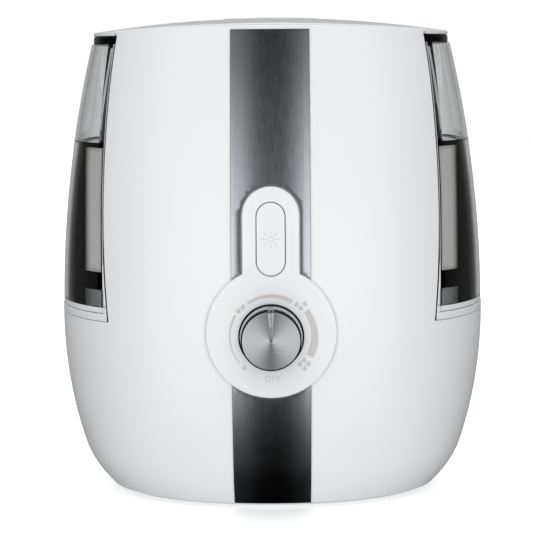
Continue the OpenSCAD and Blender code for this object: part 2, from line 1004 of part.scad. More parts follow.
module tank_lid() {
    color("whitesmoke")
        difference() {
            intersection() {
                translate([0, 0, lid_foot_z])
                    linear_extrude(20)
                        polygon(tank_outline(lid_foot_z));
                dome_ball(0);
            }
            // hollow underside, left solid round the handle's channel and the nozzle's seat
            difference() {
                intersection() {
                    translate([0, 0, lid_foot_z - 1])
                        linear_extrude(20)
                            polygon(tank_outline(lid_foot_z, lid_wall));
                    dome_ball(lid_wall);
                }
                linear_extrude(400)
                    bail_plan(channel_gap + 3.5, channel_tail + 2);
                linear_extrude(400)
                    circle(nozzle_r + 2.4);
            }
            translate([0, 0, trough_floor_z])
                linear_extrude(20)
                    bail_plan(channel_gap, channel_tail);
            translate([0, 0, nozzle_seat_z])
                cylinder(r = nozzle_r + 0.4, h = 30);
            translate([0, 0, lid_foot_z - 1])
                cylinder(r = nozzle_skirt_r + 0.4, h = 30);
            at_pivots()
                cylinder(r = pin_r + pin_gap, h = handle_w + 4.4, center = true);
        }
}

module carry_handle() {
    color("white")
        union() {
            intersection() {
                translate([0, 0, handle_foot_z])
                    linear_extrude(20)
                        bail_plan(0, handle_w / 2);
                dome_ball(0.3);
                // the pivot ends are round, so that they turn inside the channel
                union() {
                    translate([-200, 0, 0])
                        cube([400, 200, 400]);
                    translate([-200, 0, pivot_z])
                        rotate([0, 90, 0])
                            cylinder(r = pivot_end_r, h = 400);
                }
            }
            at_pivots()
                cylinder(r = pin_r, h = handle_w + 3, center = true);
        }
}

nozzle_foot_z = 274.2;
slot_l = 34;
slot_w = 9;

module mist_nozzle() {
    color("gainsboro")
        difference() {
            union() {
                intersection() {
                    translate([0, 0, nozzle_seat_z + 0.2])
                        cylinder(r = nozzle_r, h = 20, $fn = 96);
                    dome_ball(-0.3);
                }
                translate([0, 0, nozzle_foot_z])
                    cylinder(r = nozzle_skirt_r, h = 6);
            }
            translate([0, 0, nozzle_foot_z - 1])
                cylinder(r = nozzle_skirt_r - 2, h = 284 - nozzle_foot_z);
            translate([0, -9, nozzle_foot_z])
                linear_extrude(20)
                    rotate([0, 0, 90])
                        stadium(slot_w, slot_l);
        }
}

// ---- Filler cap and valve ----------------------------------------------------------------------------

cap_r = 29.5;
cap_skirt_r = 26.4;
cap_foot_z = 94.4;
cap_plate_t = 2.6;
cap_top_z = 112.5;
cage_r = 12.5;
cage_top_z = 118;
seat_hole_r = 7;
valve_lift = 4;
seal_r = 9.5;
open_seal_z = cap_foot_z + cap_plate_t + 0.2 + valve_lift;

module at_cap() {
    translate([-cap_x, 0, 0])
        children();
}

module tank_cap() {
    color("deepskyblue")
        at_cap()
            difference() {
                union() {
                    translate([0, 0, cap_foot_z])
                        cylinder(r = cap_r, h = cap_top_z - cap_foot_z);
                    for (i = [0:23])
                        rotate([0, 0, i * 15])
                            translate([cap_r - 0.6, -1, cap_foot_z])
                                cube([1.4, 2, cap_top_z - cap_foot_z - 2]);
                }
                difference() {
                    translate([0, 0, cap_foot_z + cap_plate_t])
                        cylinder(r = cap_skirt_r, h = 30);
                    translate([0, 0, cap_foot_z])
                        cylinder(r = cage_r, h = cage_top_z - cap_foot_z);
                }
                // inside of the valve cage, and its water windows
                translate([0, 0, cap_foot_z + cap_plate_t])
                    cylinder(r = cage_r - 1.6, h = cap_top_z - cap_foot_z - cap_plate_t - 1.6);
                for (a = [0, 60, 120])
                    rotate([0, 0, a])
                        translate([-20, -3, cap_foot_z + cap_plate_t + 1])
                            cube([40, 6, 10]);
                translate([0, 0, cap_foot_z - 1])
                    cylinder(r = seat_hole_r, h = 6);
                cylinder(r = 1.9, h = 200);
            }
}

module cap_gasket() {
    color("gray")
        at_cap()
            translate([0, 0, cap_foot_z + cap_plate_t])
                difference() {
                    cylinder(r = cap_skirt_r - 0.2, h = neck_foot_z - cap_foot_z - cap_plate_t - 0.1);
                    translate([0, 0, -1])
                        cylinder(r = neck_r - 3.2, h = 10);
                }
}

module valve_plunger() {
    color("white")
        at_cap() {
            translate([0, 0, valve_post_top_z + 0.2])
                cylinder(r = 1.8, h = 20.5);
            translate([0, 0, open_seal_z + 2])
                cylinder(r = 8.5, h = 1.4);
        }
}

module valve_seal() {
    color("gray")
        at_cap()
            translate([0, 0, open_seal_z])
                difference() {
                    cylinder(r = seal_r, h = 2);
                    translate([0, 0, -1])
                        cylinder(r = 1.8, h = 4);
                }
}

spring_turns = 3;
spring_r = 4.6;
spring_wire_r = 0.45;
spring_foot_z = open_seal_z + 2 + 1.4 + spring_wire_r;
spring_top_z = cap_top_z - 1.6 - spring_wire_r - 0.1;

// A coil of round wire: rings of 8 points swept up a helix
module valve_spring() {
    steps = 16 * spring_turns;
    sides = 8;
    function wire_ring(i, r) = let (a = 360 * spring_turns * i / steps,
        z = spring_foot_z + (spring_top_z - spring_foot_z) * i / steps)
        [for (k = [0:sides - 1]) [(spring_r + r * cos(360 * k / sides)) * cos(a),
            (spring_r + r * cos(360 * k / sides)) * sin(a), z + r * sin(360 * k / sides)]];
    points = flat([for (i = [0:steps]) wire_ring(i, spring_wire_r)]);
    color("silver")
        at_cap()
            polyhedron(points, concat(
                [[for (k = [0:sides - 1]) k], [for (k = [sides - 1:-1:0]) steps * sides + k]],
                [for (i = [0:steps - 1], k = [0:sides - 1]) each let (a = i * sides + k,
                    b = i * sides + (k + 1) % sides) [[a, a + sides, b], [b, a + sides, b + sides]]]
            ));
}

cartridge_r = 19;
cartridge_h = 44;

module mineral_cartridge() {
    color("ivory")
        at_cap()
            translate([0, 0, cap_top_z + 0.1]) {
                difference() {
                    cylinder(r = cartridge_r, h = cartridge_h);
                    translate([0, 0, -1])
                        cylinder(r = 5, h = 8);
                    // water windows round the side
                    for (i = [0:7])
                        rotate([0, 0, i * 45])
                            translate([cartridge_r - 2, -4, 8])
                                cube([4, 8, cartridge_h - 16]);
                }
            }
}

// ---- Nodes ------------------------------------------------------------------------------------------

front_housing();
rear_housing();
front_liner();
rear_liner();
base_cover();
foot_ring();
cover_screws();
basin();
basin_floor();
basin_posts();
basin_rim();
rim_lips();
chamber_ring();
air_stack();
front_strip_upper();
front_strip_lower();
control_plate();
knob();
knob_pointer();
knob_shaft();
potentiometer();
light_button();
light_board();
light_switch();
night_light_leds();
transducer_disc();
transducer_seal();
transducer_clamp();
clamp_screws();
heat_sink();
driver_board();
power_board();
transformer();
fan_housing();
fan_rotor();
air_duct();
float();
float_clip();
cord_gland();
tank_shell();
tank_base();
tank_seal();
tank_collar();
tank_lid();
mist_tube();
mist_nozzle();
carry_handle();
tank_cap();
cap_gasket();
valve_plunger();
valve_seal();
valve_spring();
mineral_cartridge();
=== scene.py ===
"""Looks of the ultrasonic cool mist humidifier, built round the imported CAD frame.

Lengths are in millimetres in the shape functions and become metres in make_piece().
+X is to the right, the controls face -Y, +Z is up.
"""
import math

import bmesh
import bpy
from mathutils import Matrix, Vector
from mathutils.geometry import delaunay_2d_cdt


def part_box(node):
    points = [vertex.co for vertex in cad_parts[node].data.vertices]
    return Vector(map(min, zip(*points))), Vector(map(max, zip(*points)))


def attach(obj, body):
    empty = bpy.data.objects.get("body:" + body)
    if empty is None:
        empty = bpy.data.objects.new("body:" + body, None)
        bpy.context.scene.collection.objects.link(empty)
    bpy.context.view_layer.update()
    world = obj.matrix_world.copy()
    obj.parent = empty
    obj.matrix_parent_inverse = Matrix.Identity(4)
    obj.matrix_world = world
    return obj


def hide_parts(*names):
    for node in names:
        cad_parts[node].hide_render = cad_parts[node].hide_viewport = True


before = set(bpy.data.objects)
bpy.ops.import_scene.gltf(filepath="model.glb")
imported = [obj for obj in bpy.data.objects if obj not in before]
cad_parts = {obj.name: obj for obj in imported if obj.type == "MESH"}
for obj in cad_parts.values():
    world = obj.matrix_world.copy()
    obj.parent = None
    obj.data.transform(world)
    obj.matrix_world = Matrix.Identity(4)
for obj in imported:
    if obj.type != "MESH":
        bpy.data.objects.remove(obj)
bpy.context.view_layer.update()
MM = 0.001


def node_box(name):
    """A CAD node's lowest and highest corner, in millimetres."""
    low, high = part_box(name)
    return low / MM, high / MM


# ---- Sizes taken from the frame ---------------------------------------------------------------

housing_low, housing_high = node_box("front_housing")
shell_low, shell_high = node_box("tank_shell")
collar_low, collar_high = node_box("tank_collar")
trim_low, trim_high = node_box("tank_base")
lid_low, lid_high = node_box("tank_lid")
plate_low, plate_high = node_box("control_plate")
button_low, button_high = node_box("light_button")
knob_low, knob_high = node_box("knob")
strip_low, strip_high = node_box("front_strip_lower")

BODY_W = 254.8
BODY_D = 206.0
WALL = 2.6
BELLY_Z = 110.5
PANEL_TOP_Z = housing_high.z
PANEL_ARCH = 2.6
HOUSING_FOOT_Z = housing_low.z
HOUSING_RIM_Z = 112.3
KNOB_Z = (knob_low.z + knob_high.z) / 2
KNOB_R = (knob_high.x - knob_low.x) / 2
KNOB_BACK_Y = knob_high.y
KNOB_H = knob_high.y - knob_low.y
PLATE_R = (plate_high.x - plate_low.x) / 2
PLATE_Z = plate_low.z + PLATE_R
PLATE_NECK_R = 16.2
PLATE_TOP_Z = plate_high.z
BUTTON_R = (button_high.x - button_low.x) / 2
BUTTON_Z = (button_low.z + button_high.z) / 2
BUTTON_HALF_H = (button_high.z - button_low.z) / 2
STRIP_HALF_W = (strip_high.x - strip_low.x) / 2
SKIN_GAP = 0.25
PLATE_T = 2.4
STRIP_T = 0.7

# ---- The barrel's surface, as the CAD has it ----------------------------------------------------


def draw_in(z):
    """How far the barrel has drawn in at height z from its widest section."""
    if z > BELLY_Z:
        return 0.000747 * (z - BELLY_Z) ** 2
    return 0.00186 * (BELLY_Z - z) ** 2 + 0.0099 * max(0.0, 30.0 - z) ** 2


def half_x(z, inset=0.0):
    return BODY_W / 2 - draw_in(z) - inset


def half_y(z, inset=0.0):
    return BODY_D / 2 - 1.2 * draw_in(z) - inset


def square_at(z):
    """The exponent of the plan's superellipse: round at the foot, squarer above."""
    return 2.0 + 0.4 * math.sin(math.pi / 2 * min(1.0, max(0.0, z / 60.0)))


def sign_pow(value, power):
    return math.copysign(abs(value) ** power, value)


def oval_point(rx, ry, n, degrees):
    """A point of a superellipse: 0 degrees is on the left side, 90 at the front."""
    a = math.radians(degrees)
    return (-rx * sign_pow(math.cos(a), 2 / n), -ry * sign_pow(math.sin(a), 2 / n))


def barrel_point(z, degrees, inset=0.0):
    x, y = oval_point(half_x(z, inset), half_y(z, inset), square_at(z), degrees)
    return (x, y, z)


def angle_at_x(z, x, inset=0.0):
    """The angle at which the barrel's plan at height z is x from the middle."""
    return math.degrees(math.acos((x / half_x(z, inset)) ** (square_at(z) / 2)))


def barrel_depth(z, x, inset=0.0):
    n = square_at(z)
    return half_y(z, inset) * (1 - (abs(x) / half_x(z, inset)) ** n) ** (1 / n)


EDGE_Z = 170.0
EDGE_X = 96.5
EDGE_TOP_X = 88.6
EDGE_FOOT_X = 94.0


def panel_edge_x(z):
    """Distance of the panels' side edges from the middle at height z."""
    if z > EDGE_Z:
        return EDGE_X - (EDGE_X - EDGE_TOP_X) * ((z - EDGE_Z) / (281.3 - EDGE_Z)) ** 2
    return EDGE_X - (EDGE_X - EDGE_FOOT_X) * ((EDGE_Z - z) / (EDGE_Z - HOUSING_RIM_Z)) ** 2


def spread(a, b, steps):
    return [a + (b - a) * i / steps for i in range(steps + 1)]


# ---- Meshes -------------------------------------------------------------------------------------


def make_piece(name, verts, faces, material, body, slot, replaced=(), smooth=True, weld=False):
    """A new object that rides on a CAD body. verts are in millimetres. weld joins its seams."""
    mesh = bpy.data.meshes.new(name)
    mesh.from_pydata([(x * MM, y * MM, z * MM) for x, y, z in verts], [], faces)
    if weld:
        welder = bmesh.new()
        welder.from_mesh(mesh)
        bmesh.ops.remove_doubles(welder, verts=welder.verts, dist=0.001 * MM)
        bmesh.ops.recalc_face_normals(welder, faces=welder.faces)
        welder.to_mesh(mesh)
        welder.free()
    mesh.validate()
    for polygon in mesh.polygons:
        polygon.use_smooth = smooth
    piece = bpy.data.objects.new(name, mesh)
    bpy.context.scene.collection.objects.link(piece)
    for m in material if isinstance(material, (list, tuple)) else [material]:
        mesh.materials.append(m)
    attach(piece, body)
    if replaced:
        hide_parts(*replaced)
    return piece


def round_edges(piece, width, segments=3, degrees=40.0):
    """Rounds the piece's sharp edges, and keeps its flat faces looking flat."""
    bevel = piece.modifiers.new("rounded", "BEVEL")
    bevel.width = width * MM
    bevel.segments = segments
    bevel.limit_method = "ANGLE"
    bevel.angle_limit = math.radians(degrees)
    bevel.harden_normals = True
    return piece


def crease(piece, degrees=35.0):
    """Keeps edges sharper than this angle sharp in the shading."""
    piece.data.set_sharp_from_angle(angle=math.radians(degrees))
    return piece


def skin(outer, inner, keep=None, loop=False):
    """Vertices and faces of a closed skin between two grids of points."""
    rows, cols = len(outer), len(outer[0])
    spans = cols if loop else cols - 1
    half = rows * cols

    def has(r, c):
        if loop:
            c %= cols
        return 0 <= r < rows - 1 and 0 <= c < spans and (keep is None or keep(r, c))

    def at(side, r, c):
        return side * half + r * cols + c % cols

    faces = []
    for r in range(rows - 1):
        for c in range(spans):
            if not has(r, c):
                continue
            faces.append((at(0, r, c), at(0, r, c + 1), at(0, r + 1, c + 1), at(0, r + 1, c)))
            faces.append((at(1, r, c), at(1, r + 1, c), at(1, r + 1, c + 1), at(1, r, c + 1)))
            if not has(r - 1, c):
                faces.append((at(1, r, c), at(1, r, c + 1), at(0, r, c + 1), at(0, r, c)))
            if not has(r + 1, c):
                faces.append((at(0, r + 1, c), at(0, r + 1, c + 1), at(1, r + 1, c + 1), at(1, r + 1, c)))
            if not has(r, c - 1):
                faces.append((at(0, r, c), at(0, r + 1, c), at(1, r + 1, c), at(1, r, c)))
            if not has(r, c + 1):
                faces.append((at(1, r, c + 1), at(1, r + 1, c + 1), at(0, r + 1, c + 1), at(0, r, c + 1)))
    used = sorted({v for f in faces for v in f})
    place = {v: i for i, v in enumerate(used)}
    points = [p for grid in (outer, inner) for row in grid for p in row]
    return [points[v] for v in used], [tuple(place[v] for v in f) for f in faces]


def lathe(profile, steps=128, closed=False):
    """Turns a profile of (radius, distance) about an axis; returns points (x, y, distance)."""
    verts, faces = [], []
    for r, h in profile:
        for i in range(steps):
            a = 2 * math.pi * i / steps
            verts.append((r * math.cos(a), r * math.sin(a), h))
    rings = len(profile)
    for k in range(rings if closed else rings - 1):
        n = (k + 1) % rings
        for i in range(steps):
            j = (i + 1) % steps
            faces.append((k * steps + i, k * steps + j, n * steps + j, n * steps + i))
    if not closed:
        faces.append(tuple(range(steps - 1, -1, -1)))
        faces.append(tuple((rings - 1) * steps + i for i in range(steps)))
    return verts, faces


def tube_of(profile, x=0.0, y=0.0, steps=96):
    """A wall turned about an upright axis. The profile is a list of (radius, height)."""
    rings = [[(x + r * math.cos(2 * math.pi * i / steps), y + r * math.sin(2 * math.pi * i / steps), z)
              for i in range(steps)] for r, z in profile]
    return ring_walls(rings, False)


def solid_stack(rings):
    """Closed solid through a stack of outlines, capped at both ends."""
    count = len(rings[0])
    verts = [p for ring in rings for p in ring]
    faces = []
    for k in range(len(rings) - 1):
        for i in range(count):
            j = (i + 1) % count
            faces.append((k * count + i, k * count + j, (k + 1) * count + j, (k + 1) * count + i))
    faces.append(tuple(range(count - 1, -1, -1)))
    faces.append(tuple((len(rings) - 1) * count + i for i in range(count)))
    return verts, faces


def raised(outline, z):
    return [(x, y, z) for x, y in outline]


def triangulated(loops, cell=0.0):
    """Points and triangles, anticlockwise, of a flat shape: its outline, then its holes."""
    points, edges = [], []
    for ring in loops:
        first = len(points)
        points.extend(Vector(p) for p in ring)
        edges.extend((first + i, first + (i + 1) % len(ring)) for i in range(len(ring)))
    if cell:
        xs, ys = [p.x for p in points], [p.y for p in points]
        for i in range(int((max(xs) - min(xs)) / cell)):
            for j in range(int((max(ys) - min(ys)) / cell)):
                x, y = min(xs) + (i + 0.5) * cell, min(ys) + (j + 0.5) * cell
                if inside(x, y, loops[0]) and not any(inside(x, y, h) for h in loops[1:]):
                    points.append(Vector((x, y)))
    _, _, triangles, origins, _, _ = delaunay_2d_cdt(points, edges, [], 0, 1e-6)
    faces = []
    for triangle in triangles:
        ids = [origins[v][0] for v in triangle if origins[v]]
        if len(ids) < 3:
            continue
        a, b, c = (points[v] for v in ids)
        middle = (a + b + c) / 3
        if not inside(middle.x, middle.y, loops[0]) or any(inside(middle.x, middle.y, h) for h in loops[1:]):
            continue
        faces.append(tuple(ids) if (b - a).cross(c - a) > 0 else tuple(reversed(ids)))
    return [(p.x, p.y) for p in points], faces


def joined(*parts):
    """Several (points, faces) as one."""
    verts, faces = [], []
    for part_verts, part_faces in parts:
        faces.extend(tuple(i + len(verts) for i in face) for face in part_faces)
        verts.extend(part_verts)
    return verts, faces


def ring_walls(rings, outward=True):
    """Quads between closed rings of points. outward is for anticlockwise rings that go up."""
    count = len(rings[0])
    faces = []
    for k in range(len(rings) - 1):
        for i in range(count):
            j = (i + 1) % count
            face = (k * count + i, k * count + j, (k + 1) * count + j, (k + 1) * count + i)
            faces.append(face if outward else face[::-1])
    return [p for ring in rings for p in ring], faces


def moulding(outline_at, holes, z0, top, round_low, round_high, cell=0.0, steps=4, hole_round=0.0):
    """An upright solid with rounded rims and with holes right through. top is the height of its
    upper face, as a number or as a function of (x, y)."""
    top_at = top if callable(top) else lambda x, y: top
    rings = []
    for i in range(steps + 1):
        a = math.pi / 2 * i / steps
        rings.append([(x, y, z0 + round_low * (1 - math.cos(a)))
                      for x, y in outline_at(round_low * (1 - math.sin(a)))])
    for i in range(steps + 1):
        a = math.pi / 2 * i / steps
        rings.append([(x, y, top_at(x, y) - round_high * (1 - math.sin(a)))
                      for x, y in outline_at(round_high * (1 - math.cos(a)))])
    low_points, low_faces = triangulated([outline_at(round_low)] + holes)
    hole_steps = 3 if hole_round else 0
    hole_rims = []
    for i in range(hole_steps + 1):
        a = math.pi / 2 * i / max(hole_steps, 1)
        hole_rims.append([(offset_outline(h, hole_round * (math.cos(a) - 1)), hole_round * (1 - math.sin(a)))
                          for h in holes])
    high_points, high_faces = triangulated([outline_at(round_high)] + [rim for rim, _ in hole_rims[-1]], cell)
    parts = [ring_walls(rings), ([(x, y, z0) for x, y in low_points], [f[::-1] for f in low_faces]),
             ([(x, y, top_at(x, y)) for x, y in high_points], high_faces)]
    for k, hole in enumerate(holes):
        walls = [[(x, y, z0) for x, y in hole]]
        walls += [[(x, y, top_at(x, y) - drop) for x, y in rim] for rim, drop in (level[k] for level in hole_rims)]
        parts.append(ring_walls(walls, False))
    return joined(*parts)


def fillet(corner_in, corner, corner_out, radius, steps=4):
    """Points of a round corner between two straight lines of a profile."""
    p, a, b = Vector(corner), Vector(corner_in) - Vector(corner), Vector(corner_out) - Vector(corner)
    angle = a.angle(b)
    reach = min(radius / math.tan(angle / 2), a.length * 0.49, b.length * 0.49)
    start, end = p + a.normalized() * reach, p + b.normalized() * reach
    points = []
    for i in range(steps + 1):
        t = i / steps
        q = (1 - t) ** 2 * start + 2 * t * (1 - t) * p + t ** 2 * end
        points.append((q.x, q.y))
    return points


def rounded(points, radius, steps=4, closed=True):
    """A polyline with its corners rounded."""
    count = len(points)
    result = []
    for i, p in enumerate(points):
        if not closed and i in (0, count - 1):
            result.append(tuple(p))
            continue
        result.extend(fillet(points[i - 1], p, points[(i + 1) % count], radius, steps))
    return result


# ---- Plates that follow the barrel's front ---------------------------------------------------------


def offset_outline(points, distance):
    """A closed outline moved inwards by distance. The outline runs anticlockwise in (x, z)."""
    count = len(points)
    moved = []
    for i, (x, z) in enumerate(points):
        ax, az = points[i - 1]
        bx, bz = points[(i + 1) % count]
        t1 = Vector((x - ax, z - az)).normalized()
        t2 = Vector((bx - x, bz - z)).normalized()
        normal = Vector((-(t1.y + t2.y), t1.x + t2.x)).normalized()
        spread_by = max(0.35, normal.dot(Vector((-t1.y, t1.x))))
        moved.append((x + normal.x * distance / spread_by, z + normal.y * distance / spread_by))
    return moved


def inside(x, z, outline):
    """True if the point lies in the closed outline."""
    result = False
    for i, (ax, az) in enumerate(outline):
        bx, bz = outline[i - 1]
        if (az > z) != (bz > z) and x < (bx - ax) * (z - az) / (bz - az) + ax:
            result = not result
    return result


def front_plate(outline, holes, top, base, edge, cell, crown=None):
    """A closed plate on the barrel's front. top and base are its heights above the barrel,
    edge the radius of its rounded rim, and cell the spacing of the points between."""
    rim_steps = 5 if edge > 0 else 0
    rings, heights = [], []
    for i in range(rim_steps + 1):
        a = math.pi / 2 * i / max(rim_steps, 1)
        rings.append([offset_outline(outline, edge * (1 - math.cos(a)))]
                     + [offset_outline(h, edge * (math.cos(a) - 1)) for h in holes])
        heights.append(top - edge * (1 - math.sin(a)))
    flat, height_of, faces = [], [], []
    starts = []
    for ring_set, height in zip(rings, heights):
        row = []
        for ring in ring_set:
            row.append(len(flat))
            flat.extend(ring)
            height_of.extend([height] * len(ring))
        starts.append(row)
    for k in range(rim_steps):
        for loop_index, ring in enumerate(rings[0]):
            count = len(ring)
            for i in range(count):
                j = (i + 1) % count
                a, b = starts[k][loop_index], starts[k + 1][loop_index]
                quad = (a + i, a + j, b + j, b + i)
                faces.append(quad if loop_index == 0 else quad[::-1])
    inner_rings = rings[-1]
    points, edges, source = [], [], []
    for loop_index, ring in enumerate(inner_rings):
        first = len(points)
        for i, p in enumerate(ring):
            points.append(Vector(p))
            source.append(starts[-1][loop_index] + i)
            edges.append((first + i, first + (i + 1) % len(ring)))
    low_x, high_x = min(p.x for p in points), max(p.x for p in points)
    low_z, high_z = min(p.y for p in points), max(p.y for p in points)
    margin = [offset_outline(inner_rings[0], cell * 0.4)]
    margin += [offset_outline(h, -cell * 0.4) for h in inner_rings[1:]]
    for i in range(int((high_x - low_x) / cell) + 1):
        for j in range(int((high_z - low_z) / cell) + 1):
            x, z = low_x + (i + 0.5) * cell, low_z + (j + 0.5) * cell
            if inside(x, z, margin[0]) and not any(inside(x, z, h) for h in margin[1:]):
                points.append(Vector((x, z)))
                source.append(len(flat))
                flat.append((x, z))
                height_of.append(top)
    _, _, triangles, origins, _, _ = delaunay_2d_cdt(points, edges, [], 0, 1e-6)
    for tri in triangles:
        ids = [source[origins[v][0]] for v in tri if origins[v]]
        if len(ids) < 3:
            continue
        cx = sum(flat[v][0] for v in ids) / 3
        cz = sum(flat[v][1] for v in ids) / 3
        if inside(cx, cz, inner_rings[0]) and not any(inside(cx, cz, h) for h in inner_rings[1:]):
            a, b, c = (flat[v] for v in ids)
            turn = (b[0] - a[0]) * (c[1] - a[1]) - (b[1] - a[1]) * (c[0] - a[0])
            faces.append(tuple(ids) if turn > 0 else tuple(reversed(ids)))
    count = len(flat)
    verts = []
    for (x, z), height in zip(flat, height_of):
        extra = crown(x, z) if crown else 0.0
        verts.append((x, -barrel_depth(z, x, -(height + extra)), z))
    for (x, z) in flat:
        verts.append((x, -barrel_depth(z, x, -base), z))
    back = [tuple(v + count for v in reversed(f)) for f in faces]
    walls = []
    for loop_index, ring in enumerate(rings[0]):
        first = starts[0][loop_index]
        for i in range(len(ring)):
            j = (i + 1) % len(ring)
            wall = (first + i, first + i + count, first + j + count, first + j)
            walls.append(wall if loop_index == 0 else wall[::-1])
    return verts, faces + back + walls


def arc(cx, cz, r, start, end, steps):
    """Points of an arc. Angles are in degrees, anticlockwise from +X."""
    return [(cx + r * math.cos(math.radians(a)), cz + r * math.sin(math.radians(a)))
            for a in spread(start, end, steps)]


def stadium(half_w, half_h, cz, steps=20):
    """A closed outline with round ends, anticlockwise."""
    straight = half_h - half_w
    sides = max(4, int(straight / 2))
    right = [(half_w, cz - straight + 2 * straight * i / sides) for i in range(1, sides)]
    left = [(-half_w, cz + straight - 2 * straight * i / sides) for i in range(1, sides)]
    return right + arc(0, cz + straight, half_w, 0, 180, steps) + left + arc(0, cz - straight, half_w, 180, 360, steps)


def keyhole(grow=0.0):
    """The control plate's outline, anticlockwise from the right end of its neck."""
    r, w = PLATE_R + grow, PLATE_NECK_R + grow
    join = math.degrees(math.acos(w / r))
    top = PLATE_TOP_Z - PLATE_NECK_R
    join_z = PLATE_Z + math.sqrt(r * r - w * w)
    sides = 20
    right = [(w, join_z + (top - join_z) * i / sides) for i in range(1, sides)]
    left = [(-x, z) for x, z in reversed(right)]
    return (right + arc(0, top, w, 0, 180, 32) + left
            + arc(0, PLATE_Z, r, 180 - join, 360 + join, 110))


# ---- Materials --------------------------------------------------------------------------------------


def new_material(name):
    material = bpy.data.materials.new(name)
    material.use_nodes = True
    nodes = material.node_tree.nodes
    return material, nodes, material.node_tree.links, nodes["Principled BSDF"]


def set_shader(shader, **values):
    for key, value in values.items():
        shader.inputs[key.replace("_", " ")].default_value = value


def noise(nodes, links, scale, detail=3.0, stretch=(1, 1, 1)):
    """Noise in the object's own space. scale is in cycles per metre."""
    place = nodes.new("ShaderNodeTexCoord")
    mapping = nodes.new("ShaderNodeMapping")
    mapping.inputs["Scale"].default_value = stretch
    texture = nodes.new("ShaderNodeTexNoise")
    texture.inputs["Scale"].default_value = scale
    texture.inputs["Detail"].default_value = detail
    links.new(place.outputs["Object"], mapping.inputs["Vector"])
    links.new(mapping.outputs["Vector"], texture.inputs["Vector"])
    return texture.outputs["Fac"]


def ramp(nodes, links, source, *stops):
    """A colour ramp: stops are (position, colour)."""
    node = nodes.new("ShaderNodeValToRGB")
    elements = node.color_ramp.elements
    while len(elements) < len(stops):
        elements.new(0.5)
    for element, (position, colour) in zip(elements, stops):
        element.position = position
        element.color = (*colour, 1.0)
    links.new(source, node.inputs["Fac"])
    return node.outputs["Color"]


def map_range(nodes, links, source, low, high):
    node = nodes.new("ShaderNodeMapRange")
    node.inputs["To Min"].default_value = low
    node.inputs["To Max"].default_value = high
    links.new(source, node.inputs["Value"])
    return node.outputs["Result"]


def add_bump(nodes, links, shader, source, strength, distance):
    bump = nodes.new("ShaderNodeBump")
    bump.inputs["Strength"].default_value = strength
    bump.inputs["Distance"].default_value = distance * MM
    links.new(source, bump.inputs["Height"])
    links.new(bump.outputs["Normal"], shader.inputs["Normal"])


def plastic(name, colour, roughness, coat=0.0, vary=0.03, grain=900.0, bump=0.02, specular=0.5):
    """Moulded plastic: faint colour flow, uneven gloss and a fine moulded grain."""
    material, nodes, links, shader = new_material(name)
    set_shader(shader, Coat_Weight=coat, Coat_Roughness=0.08, Specular_IOR_Level=specular)
    flow = noise(nodes, links, 9.0, 2.0)
    darker = tuple(c * (1 - vary) for c in colour)
    lighter = tuple(min(1.0, c * (1 + vary * 0.5)) for c in colour)
    links.new(ramp(nodes, links, flow, (0.3, darker), (0.7, lighter)), shader.inputs["Base Color"])
    patchy = noise(nodes, links, 35.0, 4.0)
    links.new(map_range(nodes, links, patchy, roughness * 0.85, roughness * 1.15), shader.inputs["Roughness"])
    add_bump(nodes, links, shader, noise(nodes, links, grain, 2.0), bump, 0.1)
    return material


def metal(name, colour, roughness, stretch=(1, 1, 1), scale=600.0, aniso=0.0, vary=0.08, bump=0.03):
    """Metal or metallic lacquer: its fine grain runs along the axis with the smallest stretch."""
    material, nodes, links, shader = new_material(name)
    set_shader(shader, Metallic=1.0, Anisotropic=aniso)
    grain = noise(nodes, links, scale, 5.0, stretch)
    darker = tuple(c * (1 - vary) for c in colour)
    lighter = tuple(min(1.0, c * (1 + vary)) for c in colour)
    links.new(ramp(nodes, links, grain, (0.35, darker), (0.65, lighter)), shader.inputs["Base Color"])
    links.new(map_range(nodes, links, grain, roughness * 0.8, roughness * 1.2), shader.inputs["Roughness"])
    add_bump(nodes, links, shader, grain, bump, 0.05)
    return material


def clear(name, colour, roughness=0.02, ior=1.49):
    """Clear plastic or water."""
    material, nodes, links, shader = new_material(name)
    set_shader(shader, Base_Color=(*colour, 1.0), Transmission_Weight=1.0, IOR=ior, Roughness=roughness)
    return material


def add_murk(material, colour, density):
    """Makes a clear material darker the further one looks through it."""
    nodes, links = material.node_tree.nodes, material.node_tree.links
    murk = nodes.new("ShaderNodeVolumeAbsorption")
    murk.inputs["Color"].default_value = (*colour, 1.0)
    murk.inputs["Density"].default_value = density
    links.new(murk.outputs["Volume"], nodes["Material Output"].inputs["Volume"])


def circuit_board(name):
    """Green solder mask with paler copper tracks under it."""
    material, nodes, links, shader = new_material(name)
    place = nodes.new("ShaderNodeTexCoord")
    tracks = nodes.new("ShaderNodeTexBrick")
    tracks.inputs["Scale"].default_value = 160.0
    tracks.inputs["Color1"].default_value = (0.012, 0.10, 0.035, 1)
    tracks.inputs["Color2"].default_value = (0.018, 0.14, 0.05, 1)
    tracks.inputs["Mortar"].default_value = (0.05, 0.24, 0.08, 1)
    tracks.inputs["Mortar Size"].default_value = 0.03
    links.new(place.outputs["Object"], tracks.inputs["Vector"])
    links.new(tracks.outputs["Color"], shader.inputs["Base Color"])
    links.new(map_range(nodes, links, noise(nodes, links, 300.0), 0.25, 0.4), shader.inputs["Roughness"])
    add_bump(nodes, links, shader, tracks.outputs["Fac"], 0.3, 0.1)
    return material


